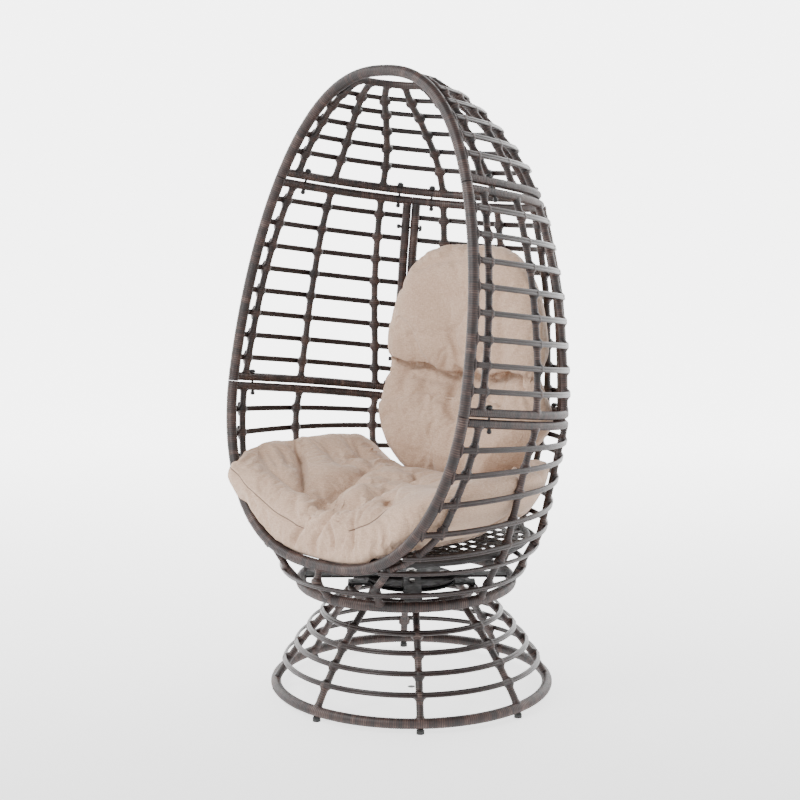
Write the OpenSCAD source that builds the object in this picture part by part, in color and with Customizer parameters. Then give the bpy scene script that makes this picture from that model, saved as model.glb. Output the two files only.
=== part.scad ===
// Swivel egg chair: a wicker-wound steel egg in five bolted sections
// (seat bowl, three wall panels and a dome) on a conical round stand,
// with a tufted seat cushion and a two-lobed back cushion.
// Millimetres, +Z up, the open front faces -Y, origin on the floor at the swivel axis.

/* [Egg shell] */
// Largest half width of the front hoop, to the tube's centre
egg_half_w = 412.5; // [380:0.5:440]
// Height of the front hoop's top, tube centre
egg_top = 1614; // [1500:1:1700]
// Height of the front hoop's bottom, tube centre
egg_bottom = 396; // [392:1:402]
// Height at which the front hoop is widest
egg_waist = 838; // [820:1:860]
// Distance of the front hoop's bottom in front of the swivel axis
front_reach = 334; // [331:1:337]
// How far the front hoop leans back for each millimetre of height
front_lean = 0.19; // [0.182:0.002:0.198]
// Largest distance of the back wall behind the swivel axis, to the rib centres
back_reach = 357; // [340:1:358]
// Fall of the hoops towards the back, for each millimetre of depth
hoop_fall = 0.152; // [0.14:0.002:0.17]
// Distance from the front hoop's top back to the line where the shell is widest
crown_reach = 20; // [16:1:24]

/* [Section joints] */
// Height of the seat section, from the front hoop's bottom up to its joint
seat_height = 414; // [400:1:430]
// Height of the dome section, from its joint up to the front hoop's top
dome_height = 267; // [255:1:280]
// Gap between the front tubes, and between the posts, of two sections
joint_gap = 0.8; // [0.5:0.1:0.9]
// Gap between the rails of two sections, held by the bolts
rail_gap = 3; // [0.8:0.1:4]

/* [Tubes and strips] */
// Diameter of the front hoop's tube with its winding
front_d = 28; // [24:1:30]
// Diameter of the rails along the joints
rail_d = 22; // [18:1:24]
// Diameter of the corner posts
post_d = 24; // [20:1:26]
// Diameter of the upright ribs
rib_d = 17; // [14:1:19]
// Height of the horizontal strips
strip_h = 13; // [10:1:15]
// Thickness of the horizontal strips
strip_t = 7; // [5:1:8]
// Diameter of the crown bar under the arch
crown_d = 19; // [16:1:22]

/* [Stand] */
// Radius of the floor ring, to the tube's centre
floor_r = 360; // [340:1:370]
// Diameter of the floor ring's tube
floor_d = 27; // [24:1:30]
// Radius of the stand's top ring, to the tube's centre
top_r = 160; // [150:1:170]
// Height of the stand's top ring, tube centre
top_z = 275; // [273:1:276]
// Diameter of the top ring's tube
top_d = 20; // [16:1:20]
// Diameter of the stand's ribs
stand_rib_d = 18; // [14:1:20]
// Radius of the curve in which the stand's ribs bulge
stand_rib_bow = 950; // [700:10:1400]
// Number of stand ribs and feet
stand_ribs = 8; // [8:4:8]
// Height of a foot
foot_h = 12; // [8:1:16]
// Diameter of a foot
foot_d = 20; // [16:1:24]

/* [Swivel] */
// Diameter of the two swivel plates
plate_d = 230; // [220:2:240]
// Thickness of a swivel plate
plate_t = 4; // [3:0.5:4]
// Diameter of the bearing balls
ball_d = 10; // [9:0.5:10]
// Number of bearing balls
ball_count = 16; // [12:1:20]
// Diameter of the king pin
pin_d = 16; // [12:1:20]
// Width of the flat cross arms
arm_w = 45; // [35:1:50]
// Thickness of the flat cross arms
arm_t = 6; // [5:0.5:6]

/* [Seat] */
// Radius of the ring under the seat, to the tube's centre
ring_r = 276; // [268:1:280]
// Height of the ring under the seat, tube centre
ring_z = 302; // [300:1:304]
// Diameter of the ring under the seat
ring_d = 28; // [24:1:29]
// Distance of the ring's centre in front of the swivel axis
ring_front = 21; // [18:1:24]
// Height of the seat deck's net above the front hoop's bottom
deck_rise = 32; // [29:1:36]
// Pitch of the net's openings
net_pitch = 36; // [34:1:40]
// Width of the net's straps
net_strap = 14; // [10:1:18]

/* [Cushions] */
// Thickness of the seat cushion at its crown
seat_pad_t = 145; // [130:1:150]
// Height of the seat cushion's side seams
seat_pad_side = 612; // [600:1:620]
// Thickness of the back cushion at its crown
back_pad_t = 150; // [120:1:165]
// How far the back cushion's lower end stands off the wall, below the joint
back_pad_slouch = 40; // [20:1:45]
// Height of the back cushion's lower edge, measured at the front hoop
back_pad_low = 522; // [515:1:545]
// Height of the back cushion's upper edge, measured at the front hoop
back_pad_high = 1245; // [1200:1:1280]

/* [Hidden] */

// Clearance between pieces that touch, and the gap of a running fit
seat_gap = 0.3;
run_gap = 0.08;

// Heights of the joints at the front hoop, and of the deck
lower_joint = egg_bottom + seat_height;
upper_joint = egg_top - dome_height;
deck_z = egg_bottom + deck_rise;

// Radii worked out from the diameters
front_r = front_d / 2;
rail_r = rail_d / 2;
post_r = post_d / 2;
rib_r = rib_d / 2;
ring_tube_r = ring_d / 2;

// Numbers of sides of the swept tubes; each has a flat side outward and inward
rib_sides = 6;
rail_sides = 8;
front_sides = 10;
function flat(r, sides) = r * cos(180 / sides);

// Gap between a rib and the strip outside it, and the strip's distance from the shell
strip_gap = 0.7;
strip_in = flat(rib_r, rib_sides) + strip_gap;
strip_off = strip_in + strip_t / 2;

// ---------- The egg's surface ----------
// A hoop is named by h, its height where it meets the plane of the front hoop. Seen from
// above it is a superellipse about (0, mid_y), from the front hoop round the back.

function mix(a, b, t) = a + (b - a) * t;
function clamp(t) = max(0, min(1, t));
function ease(t) = let (c = clamp(t)) c * c * (3 - 2 * c);

// Smooth value between stations [h, value, ...], column c
function station(list, h, c, i = 0) =
    h <= list[0][0] ? list[0][c]
    : i >= len(list) - 1 ? list[len(list) - 1][c]
    : h <= list[i + 1][0] ? mix(list[i][c], list[i + 1][c], (h - list[i][0]) / (list[i + 1][0] - list[i][0]))
    : station(list, h, c, i + 1);

// The front hoop: an egg outline in a plane that leans back
front_up = egg_top - egg_waist;
front_down = egg_waist - egg_bottom;
// Fullness of the outline below and above its widest place
egg_powers = [2.68, 2.4];
function front_power(t) = egg_powers[t > 0 ? 1 : 0];
function front_t(z) = (z - egg_waist) / (z > egg_waist ? front_up : front_down);
function front_w(z) =
    let (t = front_t(z))
    egg_half_w * pow(max(0, 1 - pow(t, 2)), 1 / front_power(t));
function front_y(z) = -front_reach + front_lean * (z - egg_bottom);

// Heights of the two lowest strips, and heights as shares of the seat and dome sections
t6 = egg_bottom + 24;
t7 = mix(ring_z, t6, 0.424);
function seat_z(share) = mix(t6, lower_joint, share);
function dome_z(share) = mix(upper_joint, egg_top, share);
SEAT_SHARES = [0.808, 0.646, 0.467, 0.277, 0.115, 0];
DOME_SHARES = [0.809, 0.697, 0.558, 0.408, 0.247];

// Stations of the shell: [h, back reach as a share, place of the middle as a share between
// the ring's and the dome's, squareness in front of it and behind it, fall as a share]
mid_back = front_y(egg_top) + crown_reach;
STATIONS = [
    [ring_z, (ring_r - ring_front) / back_reach, 0, 2, 2, 0],
    [t7, 0.775, 0.17, 2, 2, 0],
    [t6, 0.82, 0.305, 2.1, 2.1, 0.05],
    [seat_z(SEAT_SHARES[4]), 0.845, 0.46, 2.3, 2.2, 0],
    [seat_z(SEAT_SHARES[3]), 0.875, 0.688, 2.4, 2.2, 0.05],
    [seat_z(SEAT_SHARES[2]), 0.92, 0.89, 2.5, 2.2, 0.2],
    [seat_z(SEAT_SHARES[1]), 0.935, 1.03, 2.6, 2.25, 0.4],
    [seat_z(SEAT_SHARES[0]), 0.96, 1.05, 2.6, 2.25, 0.7],
    [lower_joint - 35, 0.98, 1, 2.6, 2.25, 1],
    [lower_joint - 12, 0.99, 1, 2.6, 2.25, 1],
    [lower_joint + 120, 1, 1, 2.6, 2.25, 1],
    [upper_joint - 234, 1, 1, 2.6, 2.25, 1],
    [upper_joint - 115, 0.97, 1, 2.6, 2.2, 1],
    [upper_joint - 55, 0.945, 1, 2.6, 2.2, 1],
    [upper_joint + 12, 0.91, 1, 2.6, 2.2, 1],
    [dome_z(DOME_SHARES[4]), 0.82, 1, 2.5, 2.2, 1],
    [dome_z(DOME_SHARES[3]), 0.715, 1, 2.5, 2.2, 1],
    [dome_z(DOME_SHARES[2]), 0.58, 1, 2.4, 2.2, 1],
    [dome_z(DOME_SHARES[1]), 0.435, 1, 2.3, 2.2, 1],
    [dome_z(DOME_SHARES[0]), 0.285, 1, 2.2, 2.2, 1],
    [egg_top - 16, 0.11, 1, 2.1, 2.1, 0.9]
];
function back_y(h) = back_reach * station(STATIONS, h, 1);
function mid_y(h) = mix(-ring_front, mid_back, station(STATIONS, h, 2));
function square_front(h) = station(STATIONS, h, 3);
function square_back(h) = station(STATIONS, h, 4);
function fall(h) = hoop_fall * station(STATIONS, h, 5);
function half_d(h) = back_y(h) - mid_y(h);

// Half width: above t6 each hoop passes through the front hoop, below it the bowl closes
function met_w(h) =
    let (n = square_front(h), t = (mid_y(h) - front_y(h)) / half_d(h))
    front_w(h) / pow(1 - pow(t, n), 1 / n);
function half_w(h) =
    h >= t6 ? met_w(h)
    : h >= t7 ? mix(half_d(t7), met_w(t6), (h - t7) / (t6 - t7))
    : mix(ring_r, half_d(t7), clamp((h - ring_z) / (t7 - ring_z)));

function pow_s(v, p) = sign(v) * pow(abs(v), p);
function shell0(h, phi) =
    let (e = 2 / (sin(phi) < 0 ? square_front(h) : square_back(h)),
         y = mid_y(h) + half_d(h) * pow_s(sin(phi), e))
    [half_w(h) * pow_s(cos(phi), e), y, h - fall(h) * (y - front_y(max(h, egg_bottom)))];

function unit(v) = v / norm(v);
// Direction along a hoop, and along a rib, at a place on the shell
function along(h, phi) = unit(shell0(h, phi + 1) - shell0(h, phi - 1));
function upward(h, phi) = unit(shell0(h + 6, phi) - shell0(h - 6, phi));
function outward(h, phi) = unit(cross(along(h, phi), upward(h, phi)));
function shell(h, phi, off = 0) = shell0(h, phi) + off * outward(h, phi);

// Angle at which a hoop meets the front hoop, and the angle that a length takes there
function front_phi(h) = -asin(pow(clamp((mid_y(h) - front_y(h)) / half_d(h)), square_front(h) / 2));
function per_deg(h, phi) = norm(shell0(h, phi + 0.5) - shell0(h, phi - 0.5));
function shift_phi(h, phi, dist) = phi + dist / per_deg(h, phi + 1.5 * sign(dist));
// Height of the place that lies dist above the hoop h, measured along the shell
function shift_h(h, phi, dist) =
    h + dist / (norm(shell0(h + sign(dist) * 12, phi) - shell0(h, phi)) / 12);

// ---------- Sweeps ----------

// Rings of points, one per station, joined into one closed solid
module skin(rings) {
    n = len(rings[0]);
    m = len(rings);
    points = [for (r = rings) for (p = r) p];
    sides = [for (i = [0 : m - 2]) for (k = [0 : n - 1])
        let (a = i * n + k, b = i * n + (k + 1) % n)
        each [[a, b, a + n], [b, b + n, a + n]]];
    polyhedron(points, concat(sides,
        [[for (k = [n - 1 : -1 : 0]) k]],
        [[for (k = [0 : n - 1]) (m - 1) * n + k]]), convexity = 6);
}
// The same, with the last ring joined to the first
module loop_skin(rings) {
    n = len(rings[0]);
    m = len(rings);
    points = [for (r = rings) for (p = r) p];
    polyhedron(points, [for (i = [0 : m - 1]) for (k = [0 : n - 1])
        let (a = i * n + k, b = i * n + (k + 1) % n,
             c = ((i + 1) % m) * n + k, d = ((i + 1) % m) * n + (k + 1) % n)
        each [[a, b, c], [b, d, c]]], convexity = 6);
}
// A round section of n sides about p, in the plane of u and v
function round_ring(p, u, v, r, n) =
    [for (k = [0 : n - 1]) let (a = 360 * (k + 0.5) / n) p + r * (cos(a) * u + sin(a) * v)];

// Direction of a path at point i
function path_dir(p, i) = unit(p[min(i + 1, len(p) - 1)] - p[max(i - 1, 0)]);
// A tube along a path; out gives the outward direction at each point
module tube(path, out, r, n) {
    skin([for (i = [0 : len(path) - 1])
        let (t = path_dir(path, i), u = unit(out[i] - (out[i] * t) * t), v = cross(u, t))
        round_ring(path[i], u, v, r, n)]);
}

// A strip's section: flat inside, rounded outside; x points outward, y up
STRIP = [[-0.5, -0.5], [-0.5, 0.5], [0.2, 0.5], [0.5, 0.25], [0.5, -0.25], [0.2, -0.5]];
function strip_ring(h, phi, off) =
    let (p = shell(h, phi, off), u = outward(h, phi), v = cross(u, along(h, phi)))
    [for (s = STRIP) p + s[0] * strip_t * u - s[1] * strip_h * v];

// Angles from a to b that pass through the rib places between them
function spaced(a, b, n) = [for (i = [0 : n]) mix(a, b, i / n)];
// The same with a short first and last step, so that the ends are square to the curve
function squared(a, b, n) =
    let (step = 0.08 * (b - a) / n)
    concat([a, a + step], [for (i = [1 : n - 1]) mix(a, b, i / n)], [b - step, b]);

// ---------- Places of the ribs and hoops ----------

// Ribs: [h, the first rib's distance from the front hoop along the hoop, and the angles
// of the second, third and fourth], in degrees from the side; the back centre is at 90
RIBS = [
    [ring_z, 50, -4, 32, 67],
    [t6, 50, -1, 34, 67],
    [seat_z(SEAT_SHARES[3]), 58, 2, 36, 67],
    [seat_z(SEAT_SHARES[2]), 48, 4, 37.5, 67],
    [lower_joint - 12, 48, 8, 39, 67],
    [lower_joint + 120, 49, 9.8, 38.2, 66],
    [upper_joint - 234, 48, 11.2, 36, 65],
    [upper_joint + 12, 50, 13.5, 35.2, 63.5],
    [egg_top - 24, 32, 20, 41, 64]
];
// Angle of the first rib where it stands on the ring
rib1_foot = -59;
function rib1(h) =
    h >= t6 ? shift_phi(h, front_phi(h), station(RIBS, h, 1))
    : mix(rib1_foot, rib1(t6), clamp((h - t7) / (t6 - t7)));
function rib_phi(i, h) =
    i == 0 ? rib1(h) : i <= 3 ? station(RIBS, h, i + 1) : i == 4 ? 90 : 180 - rib_phi(8 - i, h);
// Angle of the rear corners, where two posts stand side by side
corner_phi = 49;

// Heights of the hoops, at the front hoop
hoop_first = 58;
hoop_last = 62.5;
hoop_count = 8;
hoop_pitch = (upper_joint - hoop_first - lower_joint - hoop_last) / (hoop_count - 1);
panel_hoops = [for (i = [0 : hoop_count - 1]) upper_joint - hoop_first - i * hoop_pitch];
seat_hoop_h = [for (share = SEAT_SHARES) seat_z(share)];
dome_hoop_h = [for (share = DOME_SHARES) dome_z(share)];
crown_drop = 16;
crown_h = egg_top - crown_drop;

// Heights of the rails' centres, at the front hoop
rail_step = rail_r + rail_gap / 2;
dome_rail_h = upper_joint + rail_step;
top_rail_h = upper_joint - rail_step;
bottom_rail_h = lower_joint + rail_step;
seat_rail_h = lower_joint - rail_step;

// ---------- Front hoop, in three lengths ----------

front_n = [0, -cos(atan(front_lean)), sin(atan(front_lean))];
function front_point(a) =
    let (t = sin(a), z = egg_waist + t * (t > 0 ? front_up : front_down))
    [egg_half_w * pow(cos(a), 2 / front_power(t)), front_y(z), z];
function front_angle(z) = asin(front_t(z));
// One length of the front hoop, right side, from height z0 to z1 in n steps
function front_path(z0, z1, n) =
    [for (a = squared(front_angle(z0), front_angle(z1), n)) front_point(a)];
function flip_x(path) = [for (i = [len(path) - 1 : -1 : 0]) [-path[i][0], path[i][1], path[i][2]]];
module front_tube_path(path) {
    tube(path, [for (p = path) front_n], front_r, front_sides);
}

// ---------- Rails, posts, ribs and hoops ----------

// Distance from a rail's or ring's centre at which ribs and posts end
rail_end = rail_r + 0.2;
dome_rail_end = rail_r + 0.9;
ring_end = ring_tube_r + seat_gap + 0.8;
crown_end = crown_d / 2 + seat_gap;
// Length of the first and last step, which make a tube's end square to the shell
end_step = 4;

// Rail that follows the shell at height h from angle a to b
module rail(h, a, b, n, r = rail_r) {
    phis = squared(a, b, n);
    tube([for (f = phis) shell(h, f)], [for (f = phis) outward(h, f)], r, rail_sides);
}
// Rib at place i through the given hoops, from low_end above one rail to high_end below
// the next
module rib(i, low, low_end, hoops, high, high_end) {
    heights = concat([for (d = [0, end_step]) shift_h(low, rib_phi(i, low), low_end + d)],
        [for (k = [len(hoops) - 1 : -1 : 0]) hoops[k]],
        [for (d = [end_step, 0]) shift_h(high, rib_phi(i, high), -high_end - d)]);
    tube([for (h = heights) shell(h, rib_phi(i, h))],
        [for (h = heights) outward(h, rib_phi(i, h))], rib_r, rib_sides);
}
// Strip outside the ribs at height h, through the listed angles, moved out where the
// wall bends
module strip(h, phis, out = 0) {
    skin([for (f = phis) strip_ring(h, f, strip_off + out)]);
}

// Angle at which a rail or strip that meets the front hoop stops, clear of its tube
function tube_dir(h) = unit([front_w(h + 3) - front_w(h - 3), 6 * front_lean, 6]);
function front_stop(h, half, off = 0) =
    let (f = front_phi(h), s = norm(cross(along(h, f), tube_dir(h))),
         clear = front_r + seat_gap + 0.1,
         side = sqrt(max(1, clear * clear - off * off)))
    shift_phi(h, f, (side + half * sqrt(1 - s * s)) / s);
function strip_front(h) = front_stop(h, strip_h / 2, strip_in);
// Angle at which a strip stops, clear of the corner post on its side
function post_stop(h, side) =
    shift_phi(h, corner_phi, side * (post_pitch / 2 + sqrt(pow(post_r + seat_gap, 2) - pow(strip_in, 2))));

// Two posts side by side at each rear corner
post_pitch = post_d + joint_gap;
function post_point(h, side) =
    shell(h, corner_phi) + side * post_pitch / 2 * along(h, corner_phi);
post_heights = concat([shift_h(bottom_rail_h, corner_phi, rail_end)],
    [for (i = [hoop_count - 2 : -2 : 0]) panel_hoops[i]], [shift_h(top_rail_h, corner_phi, -rail_end)]);
module post(side) {
    tube([for (h = post_heights) post_point(h, side)],
        [for (h = post_heights) outward(h, corner_phi)], post_r, rail_sides);
}

// ---------- Bolts ----------

cap_d = 17;
cap_h = 8;
// Length of the shank past the lower rail
bolt_out = 8;
bolt_d = 6;
bolt_play = 0.3;
// Gap under a bolt's head, which leaves room for the rail's curve
head_gap = 0.7;
// Places of the bolts of each joint, between the first two ribs and on each side of the
// corner, as angles round the shell
function mirrored_too(list) = concat(list, [for (i = [len(list) - 1 : -1 : 0]) 180 - list[i]]);
function bolt_places(h, side, before, after) = mirrored_too([
    mix(rib_phi(0, h), rib_phi(1, h), side), mix(rib_phi(2, h), corner_phi, before),
    mix(corner_phi, rib_phi(3, h), after)]);
upper_bolts = bolt_places(upper_joint, 0.185, 0.565, 0.615);
lower_bolts = bolt_places(lower_joint, 0.17, 0.455, 0.615);

// Centres of the two rails at a joint; the bolt's axis runs through both
function rail_pair(h, phi) = [shell(h - rail_step, phi), shell(h + rail_step, phi)];
function joint_grip(h, phi) = norm(rail_pair(h, phi)[1] - rail_pair(h, phi)[0]) + rail_d;
module at_joint(h, phi) {
    pair = rail_pair(h, phi);
    dir = unit(pair[1] - pair[0]);
    translate((pair[0] + pair[1]) / 2) rotate([0, acos(dir[2]), atan2(dir[1], dir[0])]) children();
}
module bolt_hole(h, phi) {
    at_joint(h, phi) cylinder(d = bolt_d + 2 * bolt_play, h = 4 * rail_d, center = true, $fn = 24);
}
// Cap-headed bolt through both rails, head up; grip is the rails' total height
module bolt(grip) {
    translate([0, 0, grip / 2 + head_gap]) {
        cylinder(d = cap_d, h = cap_h * 0.6, $fn = 32);
        translate([0, 0, cap_h * 0.6]) cylinder(d1 = cap_d, d2 = cap_d * 0.6, h = cap_h * 0.4, $fn = 32);
    }
    translate([0, 0, -grip / 2 - bolt_out])
        cylinder(d = bolt_d, h = grip + bolt_out + head_gap + 1, $fn = 24);
}
// Cap nut on a short sleeve, under the lower rail
nut_d = 12;
sleeve_d = 9;
sleeve_h = 4;
nut_h = 8;
module cap_nut(grip) {
    translate([0, 0, -grip / 2 - seat_gap - sleeve_h - nut_h]) difference() {
        union() {
            translate([0, 0, nut_h - 1]) cylinder(d = sleeve_d, h = sleeve_h + 1, $fn = 32);
            translate([0, 0, 2]) cylinder(d = nut_d, h = nut_h - 2, $fn = 32);
            cylinder(d1 = nut_d * 0.6, d2 = nut_d, h = 2, $fn = 32);
        }
        translate([0, 0, 3]) cylinder(d = bolt_d + 2 * run_gap, h = nut_h + sleeve_h, $fn = 32);
    }
}

// ---------- Stand ----------

floor_z = foot_h + seat_gap + floor_d / 2;
// Circle of a stand rib in the plane of radius and height, through both ring centres
rib_a = [floor_r, floor_z];
rib_b = [top_r, top_z];
rib_mid = (rib_a + rib_b) / 2;
rib_half = norm(rib_b - rib_a) / 2;
rib_side = [-(rib_b - rib_a)[1], (rib_b - rib_a)[0]] / (2 * rib_half);
rib_centre = rib_mid + rib_side * sqrt(pow(stand_rib_bow, 2) - pow(rib_half, 2));
function rib_turn(p) = atan2(p[1] - rib_centre[1], p[0] - rib_centre[0]);
// Angle that a length takes on the rib's circle
function bow_deg(l) = l * 180 / (PI * stand_rib_bow);
rib_from = rib_turn(rib_a) + bow_deg(floor_d / 2 + seat_gap);
rib_to = rib_turn(rib_b) - bow_deg(top_d / 2 + seat_gap);
first_rib_angle = 47.4 - 45;
stand_hoop_count = 4;
stand_hoop_step = 0.18;
function stand_hoop_turn(i) = mix(rib_from, rib_to, (i + 1) * stand_hoop_step);
stand_strip_off = stand_rib_d / 2 + seat_gap + strip_t / 2;

module floor_ring() {
    color("#4a3a35") translate([0, 0, floor_z])
        rotate_extrude($fn = 96) translate([floor_r, 0]) circle(d = floor_d, $fn = 32);
}
module stand_ribs() {
    color("#4a3a35") for (i = [0 : stand_ribs - 1])
        rotate([0, 0, first_rib_angle + i * 360 / stand_ribs])
            translate([rib_centre[0], 0, rib_centre[1]]) rotate([90, 0, 0]) rotate([0, 0, rib_from])
                rotate_extrude(angle = rib_to - rib_from, $fn = 96)
                    translate([stand_rib_bow, 0]) circle(d = stand_rib_d, $fn = 24);
}
// Hoops lie outside the ribs, turned to follow the cone
module stand_hoops() {
    color("#4a3a35") for (i = [0 : stand_hoop_count - 1]) {
        turn = stand_hoop_turn(i);
        r = stand_rib_bow + stand_strip_off;
        rotate_extrude($fn = 96)
            translate([rib_centre[0] + r * cos(turn), rib_centre[1] + r * sin(turn)])
                rotate(turn) polygon([for (s = STRIP) [s[0] * strip_t, s[1] * strip_h]]);
    }
}
module stand_top_ring() {
    color("#4a3a35") translate([0, 0, top_z])
        rotate_extrude($fn = 96) translate([top_r, 0]) circle(d = top_d, $fn = 32);
}
module feet() {
    color("#1c1b1b") for (i = [0 : stand_ribs - 1])
        rotate([0, 0, first_rib_angle + i * 360 / stand_ribs]) translate([floor_r, 0, 0]) {
            cylinder(d = foot_d, h = foot_h - 3, $fn = 32);
            translate([0, 0, foot_h - 3]) cylinder(d = foot_d * 0.8, h = 3, $fn = 32);
        }
}

// ---------- Swivel ----------

arms_z = top_z + top_d / 2 + seat_gap;
lower_z = arms_z + arm_t + 0.1;
ball_gap = 0.1;
groove = 2;
ball_z = lower_z + plate_t + ball_d / 2 - groove + ball_gap;
upper_z = ball_z + ball_d / 2 - groove + seat_gap;
seat_arms_z = upper_z + plate_t + 0.1;
ball_r = plate_d / 2 - 18;
bolt_circle = plate_d / 2 - 34;

module cross_arms(len, z) {
    translate([0, 0, z]) for (a = [45, 135]) rotate([0, 0, a])
        translate([-len, -arm_w / 2, 0]) cube([2 * len, arm_w, arm_t]);
}
module bolt_circle_holes(d, z0, z1) {
    for (i = [0 : 3]) rotate([0, 0, 45 + i * 90])
        translate([bolt_circle, 0, z0]) cylinder(d = d, h = z1 - z0, $fn = 24);
}
m8 = 8;
m8_hole = m8 + 0.6;
head_d = 15;
head_h = 5;

module stand_cross_arms() {
    color("#2b2625") difference() {
        cross_arms(top_r + top_d / 2 - 2, arms_z);
        translate([0, 0, arms_z - 1]) cylinder(d = pin_d + 0.2, h = arm_t + 2, $fn = 48);
        bolt_circle_holes(m8_hole, arms_z - 1, arms_z + arm_t + 1);
    }
}
module swivel_lower_plate() {
    color("#202020") difference() {
        translate([0, 0, lower_z]) cylinder(d = plate_d, h = plate_t, $fn = 96);
        translate([0, 0, lower_z - 1]) cylinder(d = pin_d + 0.2, h = plate_t + 2, $fn = 48);
        bolt_circle_holes(m8_hole, lower_z - 1, lower_z + plate_t + 1);
        translate([0, 0, ball_z]) rotate_extrude($fn = 96)
            translate([ball_r, 0]) circle(d = ball_d + 2 * ball_gap, $fn = 32);
    }
}
module swivel_balls() {
    color("#b8b8b8") for (i = [0 : ball_count - 1])
        rotate([0, 0, i * 360 / ball_count]) translate([ball_r, 0, ball_z]) sphere(d = ball_d, $fn = 24);
}
module swivel_king_pin() {
    top = seat_arms_z + arm_t + 12;
    color("#8c8c8c") {
        translate([0, 0, arms_z - head_h - 0.1]) cylinder(d = pin_d * 1.8, h = head_h, $fn = 48);
        translate([0, 0, arms_z - 0.1]) cylinder(d = pin_d, h = top - arms_z, $fn = 48);
    }
}
module swivel_lock_nut() {
    color("#8c8c8c") translate([0, 0, seat_arms_z + arm_t + seat_gap]) difference() {
        cylinder(d = pin_d * 1.8, h = 8, $fn = 6);
        translate([0, 0, -1]) cylinder(d = pin_d + 2 * run_gap, h = 10, $fn = 48);
    }
}
// Bolts of the lower plate: heads under the arms, shanks flush with the plate
module swivel_lower_bolts() {
    color("#8c8c8c") for (i = [0 : 3]) rotate([0, 0, 45 + i * 90]) translate([bolt_circle, 0, 0]) {
        translate([0, 0, arms_z - head_h - 0.1]) cylinder(d = head_d, h = head_h, $fn = 6);
        translate([0, 0, arms_z - 0.1]) cylinder(d = m8, h = arm_t + plate_t, $fn = 24);
    }
}
module swivel_upper_plate() {
    color("#202020") difference() {
        translate([0, 0, upper_z]) cylinder(d = plate_d, h = plate_t, $fn = 96);
        translate([0, 0, upper_z - 1]) cylinder(d = pin_d + 2 * run_gap, h = plate_t + 2, $fn = 48);
        bolt_circle_holes(m8_hole, upper_z - 1, upper_z + plate_t + 1);
        translate([0, 0, ball_z]) rotate_extrude($fn = 96)
            translate([ball_r, 0]) circle(d = ball_d + 2 * seat_gap, $fn = 32);
    }
}
module swivel_upper_bolts() {
    color("#8c8c8c") for (i = [0 : 3]) rotate([0, 0, 45 + i * 90]) translate([bolt_circle, 0, 0]) {
        translate([0, 0, seat_arms_z + arm_t + 0.1]) cylinder(d = head_d, h = head_h, $fn = 6);
        translate([0, 0, upper_z + 0.1]) cylinder(d = m8, h = arm_t + plate_t + 0.2, $fn = 24);
    }
}
// Arms from the upper plate to the ring under the seat, cut round where they meet its tube
module seat_cross_arms() {
    color("#4a3a35") difference() {
        intersection() {
            cross_arms(ring_r + 40, seat_arms_z);
            translate([0, -ring_front, seat_arms_z - 1]) cylinder(r = ring_r, h = arm_t + 2, $fn = 96);
        }
        translate([0, 0, seat_arms_z - 1]) cylinder(d = pin_d + 2 * run_gap, h = arm_t + 2, $fn = 48);
        bolt_circle_holes(m8_hole, seat_arms_z - 1, seat_arms_z + arm_t + 1);
        translate([0, -ring_front, ring_z]) rotate_extrude($fn = 96)
            translate([ring_r, 0]) circle(d = ring_d + 2 * seat_gap, $fn = 32);
    }
}

// ---------- Seat bowl ----------

module seat_bottom_ring() {
    color("#4a3a35") translate([0, -ring_front, ring_z])
        rotate_extrude($fn = 96) translate([ring_r, 0]) circle(d = ring_d, $fn = 32);
}
module seat_front_tube() {
    half = front_path(egg_bottom + 0.001, lower_joint - joint_gap / 2, 16);
    path = concat(flip_x(half), [for (i = [1 : len(half) - 1]) half[i]]);
    color("#4a3a35") front_tube_path(path);
}
module seat_top_rail() {
    color("#4a3a35") difference() {
        let (a = front_stop(seat_rail_h, rail_r)) rail(seat_rail_h, a, 180 - a, 26);
        for (f = lower_bolts) bolt_hole(lower_joint, f);
    }
}
module seat_ribs() {
    color("#4a3a35") {
        for (i = [0 : 8])
            rib(i, ring_z, ring_end, concat(seat_hoop_h, [t7]), seat_rail_h, rail_end);
        front_centre_rib();
    }
}
// Short rib from the front hoop's lowest point down to the ring
foot_lean = 26;
module front_centre_rib() {
    foot = [0, -ring_front - ring_r - ring_end * sin(foot_lean), ring_z + ring_end * cos(foot_lean)];
    top = [0, -front_reach, egg_bottom - front_r - seat_gap];
    path = [foot, shell(mix(ring_z, t7, 0.76), -90), shell(t7, -90), top - [0, 0, end_step], top];
    tube(path, [for (p = path) [0, -1, 0]], rib_r, rib_sides);
}
// Angles of a strip that follows the shell from angle a round to 180 - a
function round_strip(h, a) =
    let (half = concat([a], rib_phi(0, h) > a + 3 ? [rib_phi(0, h)] : [],
        spaced(rib_phi(0, h), rib_phi(1, h), h < seat_z(0.45) ? 3 : 2),
        spaced(rib_phi(1, h), rib_phi(2, h), 3),
        spaced(rib_phi(2, h), rib_phi(3, h), 3), spaced(rib_phi(3, h), 90, 2)),
        one = [for (i = [0 : len(half) - 1]) if (i == 0 || half[i] > half[i - 1] + 0.5) half[i]])
    concat(one, [for (i = [len(one) - 2 : -1 : 0]) 180 - one[i]]);
// Moves the bowl's strips out, and more so the one at the bowl's knee
bowl_out = 0.9;
knee_out = 2;
// Angle from the front's middle to the next section of the lowest strip
front_step = 15;
module seat_hoops() {
    color("#4a3a35") {
        for (h = seat_hoop_h) strip(h, round_strip(h, strip_front(h)), h == t6 ? knee_out : bowl_out);
        loop_skin([for (f = concat([-90], round_strip(t7, -90 + front_step)))
            strip_ring(t7, f, strip_off + bowl_out)]);
    }
}
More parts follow.
